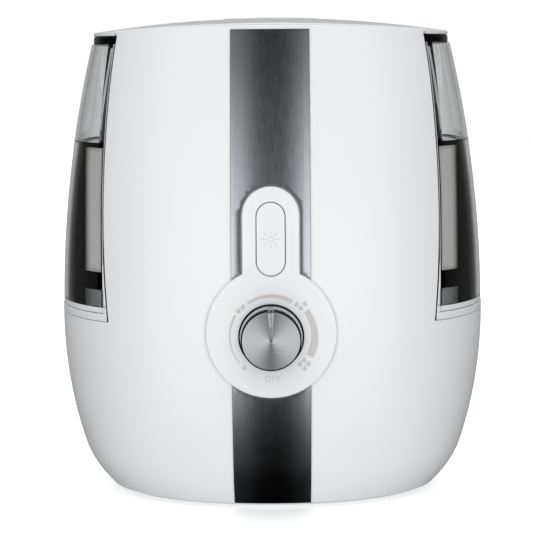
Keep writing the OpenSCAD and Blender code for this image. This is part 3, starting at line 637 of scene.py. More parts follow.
WHITE = plastic("housing_white", (0.80, 0.825, 0.84), 0.32, coat=0.25, vary=0.012)
TRIM = plastic("trim_white", (0.78, 0.80, 0.81), 0.28, coat=0.2, vary=0.012)
INNER = plastic("inner_white", (0.66, 0.68, 0.69), 0.5, vary=0.04)
FOOT = plastic("foot_white", (0.70, 0.71, 0.72), 0.55, vary=0.04, bump=0.06)
STRIP = metal("strip_lacquer", (0.36, 0.375, 0.395), 0.15, (1, 1, 0.15), 500.0, 0.0, 0.03, 0.005)
KNOB_BLACK = plastic("knob_black", (0.004, 0.004, 0.005), 0.25, vary=0.1, specular=0.02)
KNOB_BRIGHT = metal("knob_bright_ring", (0.55, 0.56, 0.58), 0.18, bump=0.0)
POINTER = metal("pointer_metal", (0.30, 0.31, 0.325), 0.25, bump=0.01)
STEEL = metal("steel", (0.55, 0.56, 0.58), 0.3, (1, 1, 0.1))
ZINC = metal("zinc_plate", (0.58, 0.58, 0.55), 0.35)
ALUMINIUM = metal("heat_sink_aluminium", (0.62, 0.64, 0.67), 0.38, (0.1, 1, 1))
DISC = metal("transducer_metal", (0.72, 0.62, 0.42), 0.25)
CORE = metal("transformer_core", (0.22, 0.2, 0.18), 0.5, (1, 1, 6.0), 300.0)
BLACK = plastic("black_plastic", (0.006, 0.006, 0.007), 0.45, vary=0.2, specular=0.05)
BLACK_GLOSS = plastic("black_gloss", (0.004, 0.004, 0.005), 0.22, vary=0.2, specular=0.06)
NOZZLE = plastic("nozzle_grey", (0.60, 0.615, 0.625), 0.35, coat=0.15, vary=0.012)
LID = plastic("lid_grey", (0.77, 0.785, 0.795), 0.3, coat=0.2, vary=0.012)
INK = plastic("dial_ink", (0.60, 0.585, 0.56), 0.5, vary=0.02, bump=0.0)
RUBBER = plastic("grey_silicone", (0.12, 0.125, 0.13), 0.6, vary=0.1, bump=0.08)
SEAL = plastic("sealing_rubber", (0.55, 0.55, 0.53), 0.6, vary=0.06, bump=0.08)
FLOAT = plastic("float_foam", (0.72, 0.69, 0.6), 0.8, vary=0.08, grain=450.0, bump=0.3)
CAP = plastic("cap_blue", (0.05, 0.22, 0.42), 0.35, vary=0.06)
CARTRIDGE = plastic("cartridge_white", (0.75, 0.75, 0.71), 0.45, vary=0.05)
BOARD = circuit_board("circuit_board")
TANK = clear("tank_clear", (0.885, 0.892, 0.895))
WATER = clear("water", (0.93, 0.96, 0.97), 0.0, 1.333)
add_murk(WATER, (0.0, 0.10, 0.15), 70.0)
LINING = plastic("lining_light", (0.82, 0.83, 0.82), 0.5, vary=0.02)
# The lining below the seal is the light lining with painted shade: the same plastic in a darker grey.
LINING_PAINTED_SHADE = plastic("lining_painted_shade", (0.22, 0.26, 0.27), 0.5, vary=0.02)
TUBE = clear("tube_clear", (0.8, 0.84, 0.86), 0.08)
LED = clear("led_lens", (0.95, 0.96, 1.0), 0.1, 1.5)


def painted_shade_across_x(name, *stops):
    """Plastic seen through the tank, with painted shade across |x|: its colour goes from light to dark away from the
    middle. stops are (millimetres, colour).
    """
    material, nodes, links, shader = new_material(name)
    set_shader(shader, Roughness=0.5, Specular_IOR_Level=0.2)
    place = nodes.new("ShaderNodeTexCoord")
    split = nodes.new("ShaderNodeSeparateXYZ")
    side = nodes.new("ShaderNodeMath")
    side.operation = "ABSOLUTE"
    spacing = nodes.new("ShaderNodeMapRange")
    start, end = stops[0][0], stops[-1][0]
    spacing.inputs["From Min"].default_value = start * MM
    spacing.inputs["From Max"].default_value = end * MM
    links.new(place.outputs["Object"], split.inputs[0])
    links.new(split.outputs["X"], side.inputs[0])
    links.new(side.outputs[0], spacing.inputs["Value"])
    shades = ramp(nodes, links, spacing.outputs["Result"], *[((x - start) / (end - start), c) for x, c in stops])
    links.new(shades, shader.inputs["Base Color"])
    add_bump(nodes, links, shader, noise(nodes, links, 700.0, 2.0), 0.02, 0.1)
    return material


# The ribs' colour holds painted shade: light next to the panel, near black at their outer end, where the window looks
# dark.
RIB_PAINTED_SHADE = painted_shade_across_x("window_rib", (98, (0.92, 0.92, 0.89)), (104, (0.92, 0.92, 0.89)), (106, (0.7, 0.7, 0.68)),
              (108, (0.05, 0.05, 0.05)))
# The feet below the seal are a dimmer copy of the ribs: painted shade, fading to black outward.
RIB_FOOT_PAINTED_SHADE = painted_shade_across_x("window_foot_painted_shade", (98, (0.42, 0.46, 0.46)), (103, (0.33, 0.38, 0.39)), (108, (0.13, 0.155, 0.16)),
                   (114, (0.01, 0.012, 0.013)))


def spun_metal(name):
    """The dial's face: turned metal whose grain runs round its centre."""
    material, nodes, links, shader = new_material(name)
    set_shader(shader, Metallic=1.0, Anisotropic=0.9, Base_Color=(0.45, 0.455, 0.465, 1.0))
    place = nodes.new("ShaderNodeTexCoord")
    shift = nodes.new("ShaderNodeVectorMath")
    shift.operation = "SUBTRACT"
    shift.inputs[1].default_value = (0.0, 0.0, KNOB_Z * MM)
    links.new(place.outputs["Object"], shift.inputs[0])
    flatten = nodes.new("ShaderNodeVectorMath")
    flatten.operation = "MULTIPLY"
    flatten.inputs[1].default_value = (1.0, 0.0, 1.0)
    links.new(shift.outputs[0], flatten.inputs[0])
    length = nodes.new("ShaderNodeVectorMath")
    length.operation = "LENGTH"
    links.new(flatten.outputs[0], length.inputs[0])
    rings = nodes.new("ShaderNodeTexNoise")
    rings.noise_dimensions = "1D"
    rings.inputs["Scale"].default_value = 4000.0
    rings.inputs["Detail"].default_value = 4.0
    links.new(length.outputs["Value"], rings.inputs["W"])
    links.new(map_range(nodes, links, rings.outputs["Fac"], 0.26, 0.40), shader.inputs["Roughness"])
    outward = nodes.new("ShaderNodeVectorMath")
    outward.operation = "NORMALIZE"
    links.new(flatten.outputs[0], outward.inputs[0])
    links.new(outward.outputs[0], shader.inputs["Tangent"])
    return material


SPUN = spun_metal("spun_metal")


# ---- Housing ------------------------------------------------------------------------------------------

SIDE_COLS = 28
FRONT_COLS = 96
SPLIT_GAP = 0.2
ACCESS_HALF_W = 11.0
ACCESS_LOW_Z = KNOB_Z - 8
ACCESS_HIGH_Z = BUTTON_Z + BUTTON_HALF_H + 3


def housing_row(z, inset, arch):
    edge = angle_at_x(z, panel_edge_x(z))
    angles = spread(0, edge, SIDE_COLS) + spread(edge, 180 - edge, FRONT_COLS)[1:]
    angles += spread(180 - edge, 180, SIDE_COLS)[1:]
    row = []
    for a in angles:
        x, y, _ = barrel_point(z, a, inset)
        drop = arch * PANEL_ARCH * (x / EDGE_TOP_X) ** 2
        row.append((x, min(y, -SPLIT_GAP / 2), z - drop))
    return row


def housing_half(name, facing):
    """One half of the barrel: the low bowl, and the tall panel between the side windows."""
    low = spread(HOUSING_FOOT_Z, 30, 16) + spread(30, HOUSING_RIM_Z, 26)[1:]
    high = spread(HOUSING_RIM_Z, PANEL_TOP_Z, 64)[1:]
    rows = low + high
    arch_from = 250.0
    arches = [max(0.0, (z - arch_from) / (PANEL_TOP_Z - arch_from)) for z in rows]
    outer = [housing_row(z, 0, t) for z, t in zip(rows, arches)]
    inner = [housing_row(z, WALL, t) for z, t in zip(rows, arches)]

    def keep(r, c):
        middle = [sum(outer[i][j][k] for i in (r, r + 1) for j in (c, c + 1)) / 4 for k in (0, 2)]
        behind_plate = abs(middle[0]) < ACCESS_HALF_W and ACCESS_LOW_Z < middle[1] < ACCESS_HIGH_Z
        if facing == "front" and behind_plate:
            return False
        return r < len(low) - 1 or SIDE_COLS <= c < SIDE_COLS + FRONT_COLS

    verts, faces = skin(outer, inner, keep)
    if facing == "rear":
        verts = [(x, -y, z) for x, y, z in verts]
        faces = [f[::-1] for f in faces]
    piece = make_piece(name, verts, faces, WHITE, "base", "housing_white", [facing + "_housing"])
    return round_edges(piece, 0.7)


housing_half("housing_front", "front")
housing_half("housing_rear", "rear")


# ---- Front strip, plate, button and marks -----------------------------------------------------------------


def strip_outline(z0, z1, half_w):
    """A tall rectangle, anticlockwise, with points along its sides."""
    steps = 60
    right = [(half_w, z) for z in spread(z0, z1, steps)]
    left = [(-half_w, z) for z in spread(z1, z0, steps)]
    return right + left


def front_strip(name, node, z0, z1, cut_low):
    """A strip that stops at the control plate's outline."""
    gap = 0.3
    half_w = STRIP_HALF_W
    hole = keyhole(gap)
    side_z = math.sqrt((PLATE_R + gap) ** 2 - half_w ** 2)
    circle_right = math.degrees(math.asin(side_z / (PLATE_R + gap)))
    if cut_low:
        join = math.degrees(math.acos((PLATE_NECK_R + gap) / (PLATE_R + gap)))
        top = PLATE_TOP_Z - PLATE_NECK_R
        foot = arc(0, PLATE_Z, PLATE_R + gap, 180 - circle_right, 180 - join, 6)
        neck_foot = foot[-1][1]
        neck = [(-PLATE_NECK_R - gap, z) for z in spread(neck_foot, top, 24)[1:-1]]
        over = arc(0, top, PLATE_NECK_R + gap, 180, 0, 32)
        lower = foot + neck + over + [(-x, z) for x, z in reversed(neck)] + [(-x, z) for x, z in reversed(foot)]
        start_z = lower[0][1]
        upper = [(half_w, z) for z in spread(start_z, z1, 60)[1:]]
        upper += [(x, z1) for x in spread(half_w, -half_w, 12)[1:-1]]
        upper += [(-half_w, z) for z in spread(z1, start_z, 60)[:-1]]
        outline = lower + upper
    else:
        cut = arc(0, PLATE_Z, PLATE_R + gap, -circle_right, -180 + circle_right, 24)
        end_z = cut[0][1]
        outline = cut + [(-half_w, z) for z in spread(end_z, z0, 60)[1:]]
        outline += [(x, z0) for x in spread(-half_w, half_w, 12)[1:-1]]
        outline += [(half_w, z) for z in spread(z0, end_z, 60)[:-1]]
    verts, faces = front_plate(outline, [], SKIN_GAP + STRIP_T, SKIN_GAP, 0.3, 3.0)
    return make_piece(name, verts, faces, STRIP, "base", "strip_metal", [node])


front_strip("strip_above_plate", "front_strip_upper", PLATE_Z, node_box("front_strip_upper")[1].z, True)
front_strip("strip_below_plate", "front_strip_lower", strip_low.z, PLATE_Z, False)

PLATE_TOP = SKIN_GAP + PLATE_T
BUTTON_GAP = 0.35
BUTTON_PROUD = 0.25
button_hole = stadium(BUTTON_R + BUTTON_GAP, BUTTON_HALF_H + BUTTON_GAP, BUTTON_Z)
verts, faces = front_plate(keyhole(), [button_hole], PLATE_TOP, SKIN_GAP, 1.1, 2.5)
make_piece("dial_plate", verts, faces, WHITE, "base", "housing_white", ["control_plate"])

verts, faces = front_plate(stadium(BUTTON_R, BUTTON_HALF_H, BUTTON_Z), [], PLATE_TOP + BUTTON_PROUD,
                           SKIN_GAP - 2.4, 0.5, 2.0)
make_piece("light_button_cap", verts, faces, WHITE, "light_button", "housing_white")
button_stem_r = 2.5
verts, faces = lathe(rounded([(button_stem_r, 0), (button_stem_r, 13)], 0.3, closed=False), 32)
stem_back_y = button_high.y
verts = [(x, stem_back_y - h, z + BUTTON_Z) for x, z, h in verts]
faces = [f[::-1] for f in faces]
make_piece("light_button_stem", verts, faces, WHITE, "light_button", "housing_white", ["light_button"])

# Printed marks: thin solids of ink, just proud of the surface
INK_T = 0.06
INK_SINK = 0.03


def circle_outline(cx, cz, r, steps=40):
    return arc(cx, cz, r, 0, 360, steps)[:-1]


def bar(cx, cz, degrees, start, end, width):
    """A bar that points away from (cx, cz) in the clock direction given."""
    a = math.radians(90 - degrees)
    ux, uz = math.cos(a), math.sin(a)
    corners = [(start, -width / 2), (end, -width / 2), (end, width / 2), (start, width / 2)]
    return [(cx + ux * along - uz * across, cz + uz * along + ux * across) for along, across in corners]


def dial_arc(radius, start, end, width_start, width_end, steps=40):
    """A band round the dial between two clock angles, whose width changes along it."""
    outer, inner = [], []
    for i in range(steps + 1):
        t = i / steps
        a = math.radians(90 - (start + (end - start) * t))
        half = (width_start + (width_end - width_start) * t) / 2
        outer.append((math.cos(a) * (radius + half), KNOB_Z + math.sin(a) * (radius + half)))
        inner.append((math.cos(a) * (radius - half), KNOB_Z + math.sin(a) * (radius - half)))
    return inner + outer[::-1]


def drop_outline(cx, cz, size, degrees=0.0):
    """A water drop with its point towards the clock direction given."""
    points = []
    for i in range(28):
        t = 2 * math.pi * i / 28
        along = math.cos(t)
        across = math.sin(t) * math.sin(t / 2) ** 1.5
        points.append((size * 0.5 * across * 1.15, size * 0.5 * along))
    a = math.radians(-degrees)
    turned = [(cx + x * math.cos(a) - z * math.sin(a), cz + x * math.sin(a) + z * math.cos(a)) for x, z in points]
    return turned[::-1]


def on_dial(radius, degrees):
    a = math.radians(90 - degrees)
    return radius * math.cos(a), KNOB_Z + radius * math.sin(a)


def letter_f(x, z, w, h, stroke):
    mid = z + h * 0.5
    return [(x, z), (x + stroke, z), (x + stroke, mid - stroke / 2), (x + w * 0.88, mid - stroke / 2),
            (x + w * 0.88, mid + stroke / 2), (x + stroke, mid + stroke / 2), (x + stroke, z + h - stroke),
            (x + w, z + h - stroke), (x + w, z + h), (x, z + h)]


def oval(cx, cz, rx, rz, steps=40):
    return [(cx + rx * math.cos(2 * math.pi * i / steps), cz + rz * math.sin(2 * math.pi * i / steps))
            for i in range(steps)]


def print_marks(name, shapes, surface, body, cell=3.0):
    """One object for several printed shapes. A shape is (outline, holes)."""
    verts, faces = [], []
    for outline, holes in shapes:
        v, f = front_plate(outline, holes, surface + INK_T - INK_SINK, surface - INK_SINK, 0.0, cell)
        faces.extend(tuple(i + len(verts) for i in face) for face in f)
        verts.extend(v)
    return make_piece(name, verts, faces, INK, body, "foot_white", smooth=False)


# Each band: radius, start and end in clock degrees, width at its start and end
BANDS = ((23.3, -131, -59, 0.5, 1.4), (22.8, -35, 31, 1.6, 2.5), (24.3, 54, 118, 3.5, 4.5))
marks = [(rounded(dial_arc(*band), band[3] * 0.3), []) for band in BANDS]
# Each group of drops: clock degrees, radius, and the drops' places round its middle
DROPS = ((-139, 23.1, [(0, 0)]),
         (-47, 23.2, [(-1.25, -1.05), (1.25, 1.05)]),
         (43.3, 24.3, [(-2.3, 0.5), (0, -1.6), (2.3, 1.05)]),
         (130, 24.2, [(-0.15, 2.3), (-2.4, 0), (2.4, 0.1), (0.2, -2.5)]))
for degrees, radius, spots in DROPS:
    cx, cz = on_dial(radius, degrees)
    for dx, dz in spots:
        marks.append((drop_outline(cx + dx, cz + dz, 3.3, 8), []))
LETTER_H, LETTER_W, LETTER_STROKE, LETTER_GAP = 3.7, 2.1, 0.46, 0.7
LETTERS_X, LETTERS_Z = 0.9, KNOB_Z - 26.1
o_rx = LETTER_H * 0.46
word_w = 2 * o_rx + 2 * LETTER_W + 2 * LETTER_GAP
left_x = LETTERS_X - word_w / 2
marks.append((oval(left_x + o_rx, LETTERS_Z + LETTER_H / 2, o_rx, LETTER_H / 2),
              [oval(left_x + o_rx, LETTERS_Z + LETTER_H / 2, o_rx - LETTER_STROKE, LETTER_H / 2 - LETTER_STROKE)]))
for i in range(2):
    marks.append((letter_f(left_x + 2 * o_rx + LETTER_GAP + i * (LETTER_W + LETTER_GAP), LETTERS_Z,
                           LETTER_W, LETTER_H, LETTER_STROKE), []))
print_marks("dial_marks", marks, PLATE_TOP, "base")

SUN_R, SUN_RING, RAY_START, RAY_END, RAY_W = 1.55, 0.45, 2.5, 5.0, 0.42
sun = [(circle_outline(0, BUTTON_Z, SUN_R), [circle_outline(0, BUTTON_Z, SUN_R - SUN_RING)])]
sun += [(bar(0, BUTTON_Z, 45 * i, RAY_START, RAY_END, RAY_W), []) for i in range(8)]
print_marks("light_symbol", sun, PLATE_TOP + BUTTON_PROUD, "light_button")


# ---- Dial knob ------------------------------------------------------------------------------------------


def on_knob_axis(points):
    """Lathe points with the axis turned to face the front, at the knob's place."""
    return [(x, KNOB_BACK_Y - h, z + KNOB_Z) for x, z, h in points]


FACE_R = KNOB_R - 2.6
BEVEL_R = KNOB_R - 1.65
knob_rings = [
    ("black", [(3.1, 0.0), (KNOB_R - 0.3, 0.0), (KNOB_R, 0.3), (KNOB_R, 1.3), (KNOB_R - 0.1, 1.6),
               (KNOB_R - 0.8, 2.0)]),
    ("bright", [(KNOB_R - 0.85, 2.2), (BEVEL_R + 0.1, 9.5)]),
    ("black", [(BEVEL_R + 0.06, 9.7), (BEVEL_R, KNOB_H - 0.8), (BEVEL_R - 0.1, KNOB_H - 0.55),
               (FACE_R + 0.25, KNOB_H - 0.1)]),
    ("rim", [(FACE_R + 0.22, KNOB_H - 0.07), (FACE_R + 0.1, KNOB_H), (FACE_R, KNOB_H)]),
    ("face", [(FACE_R - 0.05, KNOB_H), (FACE_R * 0.66, KNOB_H), (FACE_R * 0.33, KNOB_H), (0.6, KNOB_H)]),
]
profile = [p for _, ring in knob_rings for p in ring]
kinds = [kind for kind, ring in knob_rings for _ in ring]
STEPS = 160
verts, faces = lathe(profile, STEPS)
knob_materials = {"black": 0, "bright": 1, "rim": 1, "face": 2}
piece = make_piece("dial_knob", on_knob_axis(verts), [f[::-1] for f in faces], [KNOB_BLACK, KNOB_BRIGHT, SPUN],
                   "knob", "dark_chrome", ["knob"])
for k, polygon in enumerate(piece.data.polygons):
    ring = k // STEPS
    polygon.material_index = knob_materials[kinds[ring + 1]] if ring + 1 < len(profile) else 2
piece.data.polygons[-2].material_index = 0
piece.data.polygons[-2].use_smooth = False
round_edges(piece, 0.05, 1, 30)


def pointer_loft():
    """The ridge from the knob's back ring, over the rim, to the middle of the face."""
    path = [(KNOB_R - 0.95, 3.2, 1.35, 0.2), (KNOB_R - 1.2, 7.0, 1.45, 0.6), (BEVEL_R + 0.02, KNOB_H - 2.5, 1.6, 0.8),
            (BEVEL_R - 0.1, KNOB_H - 0.4, 1.95, 0.7), (FACE_R - 0.4, KNOB_H, 1.85, 0.75),
            (FACE_R * 0.5, KNOB_H, 1.3, 0.6), (0.4, KNOB_H, 0.85, 0.45), (-0.5, KNOB_H, 0.75, 0.1)]
    rows = []
    for i, (r, h, w, proud) in enumerate(path):
        before, after = path[max(0, i - 1)], path[min(len(path) - 1, i + 1)]
        along = Vector((after[0] - before[0], after[1] - before[1])).normalized()
        out = Vector((-along.y, along.x)) * -1.0
        if out.y < 0 and abs(out.x) < 0.5:
            out = -out
        section = [(-w, -0.6), (-w, proud * 0.45), (-w * 0.35, proud), (w * 0.35, proud), (w, proud * 0.45), (w, -0.6)]
        rows.append([(across, KNOB_BACK_Y - (h + out.y * up), KNOB_Z + r + out.x * up) for across, up in section])
    return rows


rows = pointer_loft()
verts, faces = solid_stack(rows)
pointer = make_piece("dial_pointer", verts, faces, POINTER, "knob", "pointer_metal", ["knob_pointer"])
round_edges(pointer, 0.12, 2, 20)


# ---- Ring, trim and tank -----------------------------------------------------------------------------------

CORE_X = half_x(281.3, WALL)
CORE_Y = half_y(281.3, WALL)
TANK_CORE_X = CORE_X - 0.8
TANK_CORE_Y = CORE_Y - 0.8
TANK_GROOVE_Y = 45.0
TANK_INSET = 0.3
TANK_WALL = 2.4
EAR_GAP = 0.7
CORE_STEPS = 36
EAR_STEPS = 28
GROOVE_STEPS = 3


def ear_x(z):
    return panel_edge_x(max(z, EDGE_Z)) + EAR_GAP


def tank_quarter(z, t):
    """A quarter of the tank's plan, from the front middle to the left side, drawn in by t."""
    y = TANK_GROOVE_Y - t
    rx, ry = TANK_CORE_X - t, TANK_CORE_Y - t
    a = math.degrees(math.asin((y / ry) ** 1.2))
    x = ear_x(z) + t
    b = angle_at_x(z, x, TANK_INSET + t)
    points = [oval_point(rx, ry, 2.4, 90 + (a - 90) * i / CORE_STEPS) for i in range(CORE_STEPS + 1)]
    start = points[-1][0]
    points += [(start + (-x - start) * i / GROOVE_STEPS, -y) for i in range(1, GROOVE_STEPS + 1)]
    tip = barrel_point(z, b, TANK_INSET + t)[1]
    points += [(-x, -y + (tip + y) * i / GROOVE_STEPS) for i in range(1, GROOVE_STEPS)]
    points += [barrel_point(z, b * (1 - i / EAR_STEPS), TANK_INSET + t)[:2] for i in range(EAR_STEPS + 1)]
    return points


def tank_outline(z, t=0.0):
    quarter = tank_quarter(z, t)
    left = quarter[:-1] + [(x, -y) for x, y in reversed(quarter)]
    right = [(-x, y) for x, y in reversed(left)]
    return left[:-1] + right[:-1]


heights = spread(shell_low.z, shell_high.z, 60)
verts, faces = skin([raised(tank_outline(z), z) for z in heights],
                    [raised(tank_outline(z, TANK_WALL), z) for z in heights], loop=True)
crease(make_piece("tank_wall", verts, faces, TANK, "tank", "tank_clear", ["tank_shell"], weld=True))

TANK_FOOT_Z = 117.2
seal_low, seal_high = node_box("tank_seal")
WATER_TOP_Z = 213.0
WATER_GAP = 0.05
MENISCUS = 1.2
heights = spread(shell_low.z + WATER_GAP, WATER_TOP_Z, 40)
rings = [raised(tank_outline(z, TANK_WALL + WATER_GAP), z) for z in heights]
# the water climbs the wall a little, and is flat further in
for rise, t in ((MENISCUS, 0.05), (MENISCUS * 0.45, 0.5), (MENISCUS * 0.12, 1.2), (0.0, 2.4)):
    rings.append(raised(tank_outline(WATER_TOP_Z, TANK_WALL + WATER_GAP + t), WATER_TOP_Z + rise))
verts, faces = solid_stack(rings)
crease(make_piece("tank_water", verts, faces, WATER, "tank", "tank_clear", weld=True))


def at_corners(verts, faces):
    """The same thing at all four of the tank's corners. It is made at the front left."""
    parts = []
    for sx in (1, -1):
        for sy in (1, -1):
            turned = [(x * sx, y * sy, z) for x, y, z in verts]
            parts.append((turned, faces if sx * sy > 0 else [f[::-1] for f in faces]))
    return joined(*parts)


# Ribs inside the windows, next to the panels. Their colours are painted shade: light beside the panel and dark outward,
# dimmer on the feet below the seal
RIB_T = 0.9
RIB_DEPTH = 0.6
RIB_END_X = 108.0
RIB_COLS = 8


def rib_row(z, t):
    start = angle_at_x(z, ear_x(z) + 0.5, TANK_INSET + t)
    end = angle_at_x(z, min(RIB_END_X, half_x(z, TANK_INSET + t) - 3), TANK_INSET + t)
    return [barrel_point(z, a, TANK_INSET + t) for a in spread(start, end, RIB_COLS)]


def window_ribs(name, z0, z1, material, slot, depth=RIB_DEPTH):
    rows = spread(z0, z1, 24)
    verts, faces = skin([rib_row(z, depth) for z in rows], [rib_row(z, depth + RIB_T) for z in rows])
    return make_piece(name, *at_corners(verts, faces), material, "tank", slot, weld=True)


window_ribs("window_ribs", seal_high.z, WATER_TOP_Z - 1.5, RIB_PAINTED_SHADE, "inner_white")
window_ribs("window_feet", shell_low.z + 0.2, seal_low.z, RIB_FOOT_PAINTED_SHADE, "inner_white")


def groove_lining(name, z0, z1, material, slot):
    """Thin lining of the tank's grooves, which shows through the clear wall beside each panel."""
    t = 0.25
    outer, inner = [], []
    for z in spread(z0, z1, 48):
        x = ear_x(z)
        tip = barrel_depth(z, x, TANK_INSET)
        deep = TANK_GROOVE_Y + 0.02
        outer.append([(-x + t, -tip + 0.3, z), (-x + t, -deep - t, z), (-x + 7.0, -deep - t, z)])
        inner.append([(-x + 0.02, -tip + 0.3, z), (-x + 0.02, -deep, z), (-x + 7.0, -deep, z)])
    verts, faces = skin(outer, inner)
    return make_piece(name, *at_corners(verts, faces), material, "tank", slot, smooth=False, weld=True)


groove_lining("groove_linings", seal_low.z, collar_low.z, LINING, "inner_white")
# Below the seal the linings carry painted shade: a darker copy of the light lining.
groove_lining("groove_linings_painted_shade", trim_high.z, seal_low.z, LINING_PAINTED_SHADE, "silicone_grey")


def gap_filler():
    """Slivers on the base that narrow the gaps between the panels' edges and the tank, low down."""
    outer, inner = [], []
    for z in spread(trim_high.z + 0.1, 146, 10):
        xs = spread(panel_edge_x(z) + 0.7, ear_x(z) - 0.15, 2)
        outer.append([(-x, -barrel_depth(z, x, 0.8), z) for x in xs])
        inner.append([(-x, -barrel_depth(z, x, 3.0), z) for x in xs])
    verts, faces = skin(outer, inner)
    return make_piece("gap_slivers", *at_corners(verts, faces), LINING, "base", "inner_white", weld=True)


gap_filler()

# Collar, its brackets, and the white trim at the tank's foot
TUBE_HOLE_R = 17.1
tube_hole = circle_outline(0, 0, TUBE_HOLE_R, 96)
neck_x = (node_box("tank_cap")[0].x + node_box("tank_cap")[1].x) / 2
NECK_HOLE_R = 23.4
verts, faces = moulding(lambda t: tank_outline(lid_low.z, t), [tube_hole], collar_low.z, collar_high.z, 0.5, 1.6, steps=6)
crease(make_piece("collar_band", verts, faces, BLACK_GLOSS, "tank", "black_plastic", ["tank_collar"], weld=True))

NECK_R = 26.0
neck_foot = trim_low.z
neck_top = 117.7
neck_profile = [(NECK_R, neck_top), (NECK_R, neck_foot + 0.4), (NECK_R - 0.4, neck_foot), (NECK_HOLE_R + 0.4, neck_foot),
                (NECK_HOLE_R, neck_foot + 0.4), (NECK_HOLE_R, neck_top), (NECK_R, neck_top)]
neck = tube_of(neck_profile, neck_x)
holes = [tube_hole, circle_outline(neck_x, 0, NECK_HOLE_R, 96)]
trim = moulding(lambda t: tank_outline(trim_high.z, t), holes, TANK_FOOT_Z, trim_high.z, 0.5, 0.3)
crease(make_piece("tank_trim", *joined(trim, neck), TRIM, "tank", "trim_white", ["tank_base"], weld=True))

BRACKET_W, BRACKET_H, BRACKET_T = 3.0, 2.4, 0.8


def bracket_row(z, t):
    reach = BRACKET_W * (1 - 0.45 * (collar_low.z - z) / BRACKET_H)
    x0 = ear_x(z)
    return [(-x, -barrel_depth(z, x, TANK_INSET + t), z) for x in spread(x0 + 0.2, x0 + reach, 4)]


rows = spread(collar_low.z - BRACKET_H, collar_low.z + 0.3, 8)
verts, faces = skin([bracket_row(z, -BRACKET_T * 0.3) for z in rows], [bracket_row(z, BRACKET_T) for z in rows])
make_piece("collar_brackets", *at_corners(verts, faces), BLACK_GLOSS, "tank", "black_plastic", weld=True)

# Domed lid with the handle's channel and the nozzle's seat, the turning nozzle, and the handle
DOME_R = 686.0
HANDLE_X, HANDLE_Y, HANDLE_W = 50.0, 45.0, 8.0
HANDLE_CORNER = 10.0
CHANNEL_GAP, CHANNEL_TAIL, CHANNEL_FLOOR_Z = 0.6, 6.6, 278.4
PIVOT_Z, PIVOT_END_R, PIN_R = 281.0, 2.4, 1.5
nozzle_low, nozzle_high = node_box("mist_nozzle")
NOZZLE_R = (nozzle_high.x - nozzle_low.x) / 2
NOZZLE_SEAT_Z = 278.8
SKIRT_R = 24.0
SLOT_L, SLOT_W, SLOT_Y = 34.0, 9.0, -9.0


def dome(x, y, rise=0.0):
    return lid_high.z - DOME_R + math.sqrt(DOME_R ** 2 - x * x - y * y) + rise


def bail_outline(grow, tail):
    """The handle's U in plan, anticlockwise, wider by grow on every side."""
    side, end = HANDLE_X + HANDLE_W / 2 + grow, HANDLE_Y + HANDLE_W / 2 + grow
    inner_x, inner_y = HANDLE_X - HANDLE_W / 2 - grow, HANDLE_Y - HANDLE_W / 2 - grow
    c = HANDLE_CORNER
    points = [(side, y) for y in spread(-tail, end - c, 12)]
    points += arc(side - c, end - c, c, 0, 90, 10)[1:]
    points += [(x, end) for x in spread(side - c, -side + c, 20)[1:-1]]
    points += arc(-side + c, end - c, c, 90, 180, 10)
    points += [(-side, y) for y in spread(end - c, -tail, 12)[1:]]
    points += [(-inner_x, y) for y in spread(-tail, inner_y - 3, 12)]
    points += arc(-inner_x + 3, inner_y - 3, 3, 180, 90, 6)[1:]
    points += [(x, inner_y) for x in spread(-inner_x + 3, inner_x - 3, 20)[1:-1]]
    points += arc(inner_x - 3, inner_y - 3, 3, 90, 0, 6)
    points += [(inner_x, y) for y in spread(inner_y - 3, -tail, 12)[1:]]
    return points


def drawn_in(outline):
    return lambda t: offset_outline(outline, t) if t else outline


def rod_along_x(x0, x1, y, z, r, steps=32):
    rings = [[(x, y + r * math.cos(2 * math.pi * i / steps), z + r * math.sin(2 * math.pi * i / steps))
              for i in range(steps)] for x in (x0, x1)]
    return solid_stack(rings)


channel = bail_outline(CHANNEL_GAP, CHANNEL_TAIL)
seat_hole = circle_outline(0, 0, NOZZLE_R + 0.4, 96)
lid = moulding(lambda t: tank_outline(lid_low.z, t), [channel, seat_hole], lid_low.z, dome, 0.4, 0.9, 7.0,
               hole_round=0.5)
trough = moulding(drawn_in(bail_outline(CHANNEL_GAP + 0.2, CHANNEL_TAIL + 0.2)), [], lid_low.z, CHANNEL_FLOOR_Z, 0.1, 0.1)
seat_profile = [(NOZZLE_R + 0.6, lid_low.z), (NOZZLE_R + 0.6, NOZZLE_SEAT_Z), (SKIRT_R + 0.4, NOZZLE_SEAT_Z),
                (SKIRT_R + 0.4, lid_low.z), (NOZZLE_R + 0.6, lid_low.z)]
seat = tube_of(seat_profile)
crease(make_piece("domed_lid", *joined(lid, trough, seat), LID, "tank", "lid_grey", ["tank_lid"], weld=True))

slot = [(x, y + SLOT_Y) for y, x in stadium(SLOT_W / 2, SLOT_L / 2, 0.0)][::-1]
disc = moulding(drawn_in(circle_outline(0, 0, NOZZLE_R, 120)), [slot], NOZZLE_SEAT_Z + 0.2,
                lambda x, y: dome(x, y, 0.3), 0.2, 0.8, 4.0, hole_round=0.9)
skirt_profile = [(SKIRT_R, NOZZLE_SEAT_Z + 0.4), (SKIRT_R, nozzle_low.z + 0.3), (SKIRT_R - 0.3, nozzle_low.z),
                 (SKIRT_R - 1.7, nozzle_low.z), (SKIRT_R - 2, nozzle_low.z + 0.3), (SKIRT_R - 2, NOZZLE_SEAT_Z + 0.4),
                 (SKIRT_R, NOZZLE_SEAT_Z + 0.4)]
crease(make_piece("mist_outlet", *joined(disc, tube_of(skirt_profile)), NOZZLE, "nozzle", "lid_grey", ["mist_nozzle"],
                  weld=True))

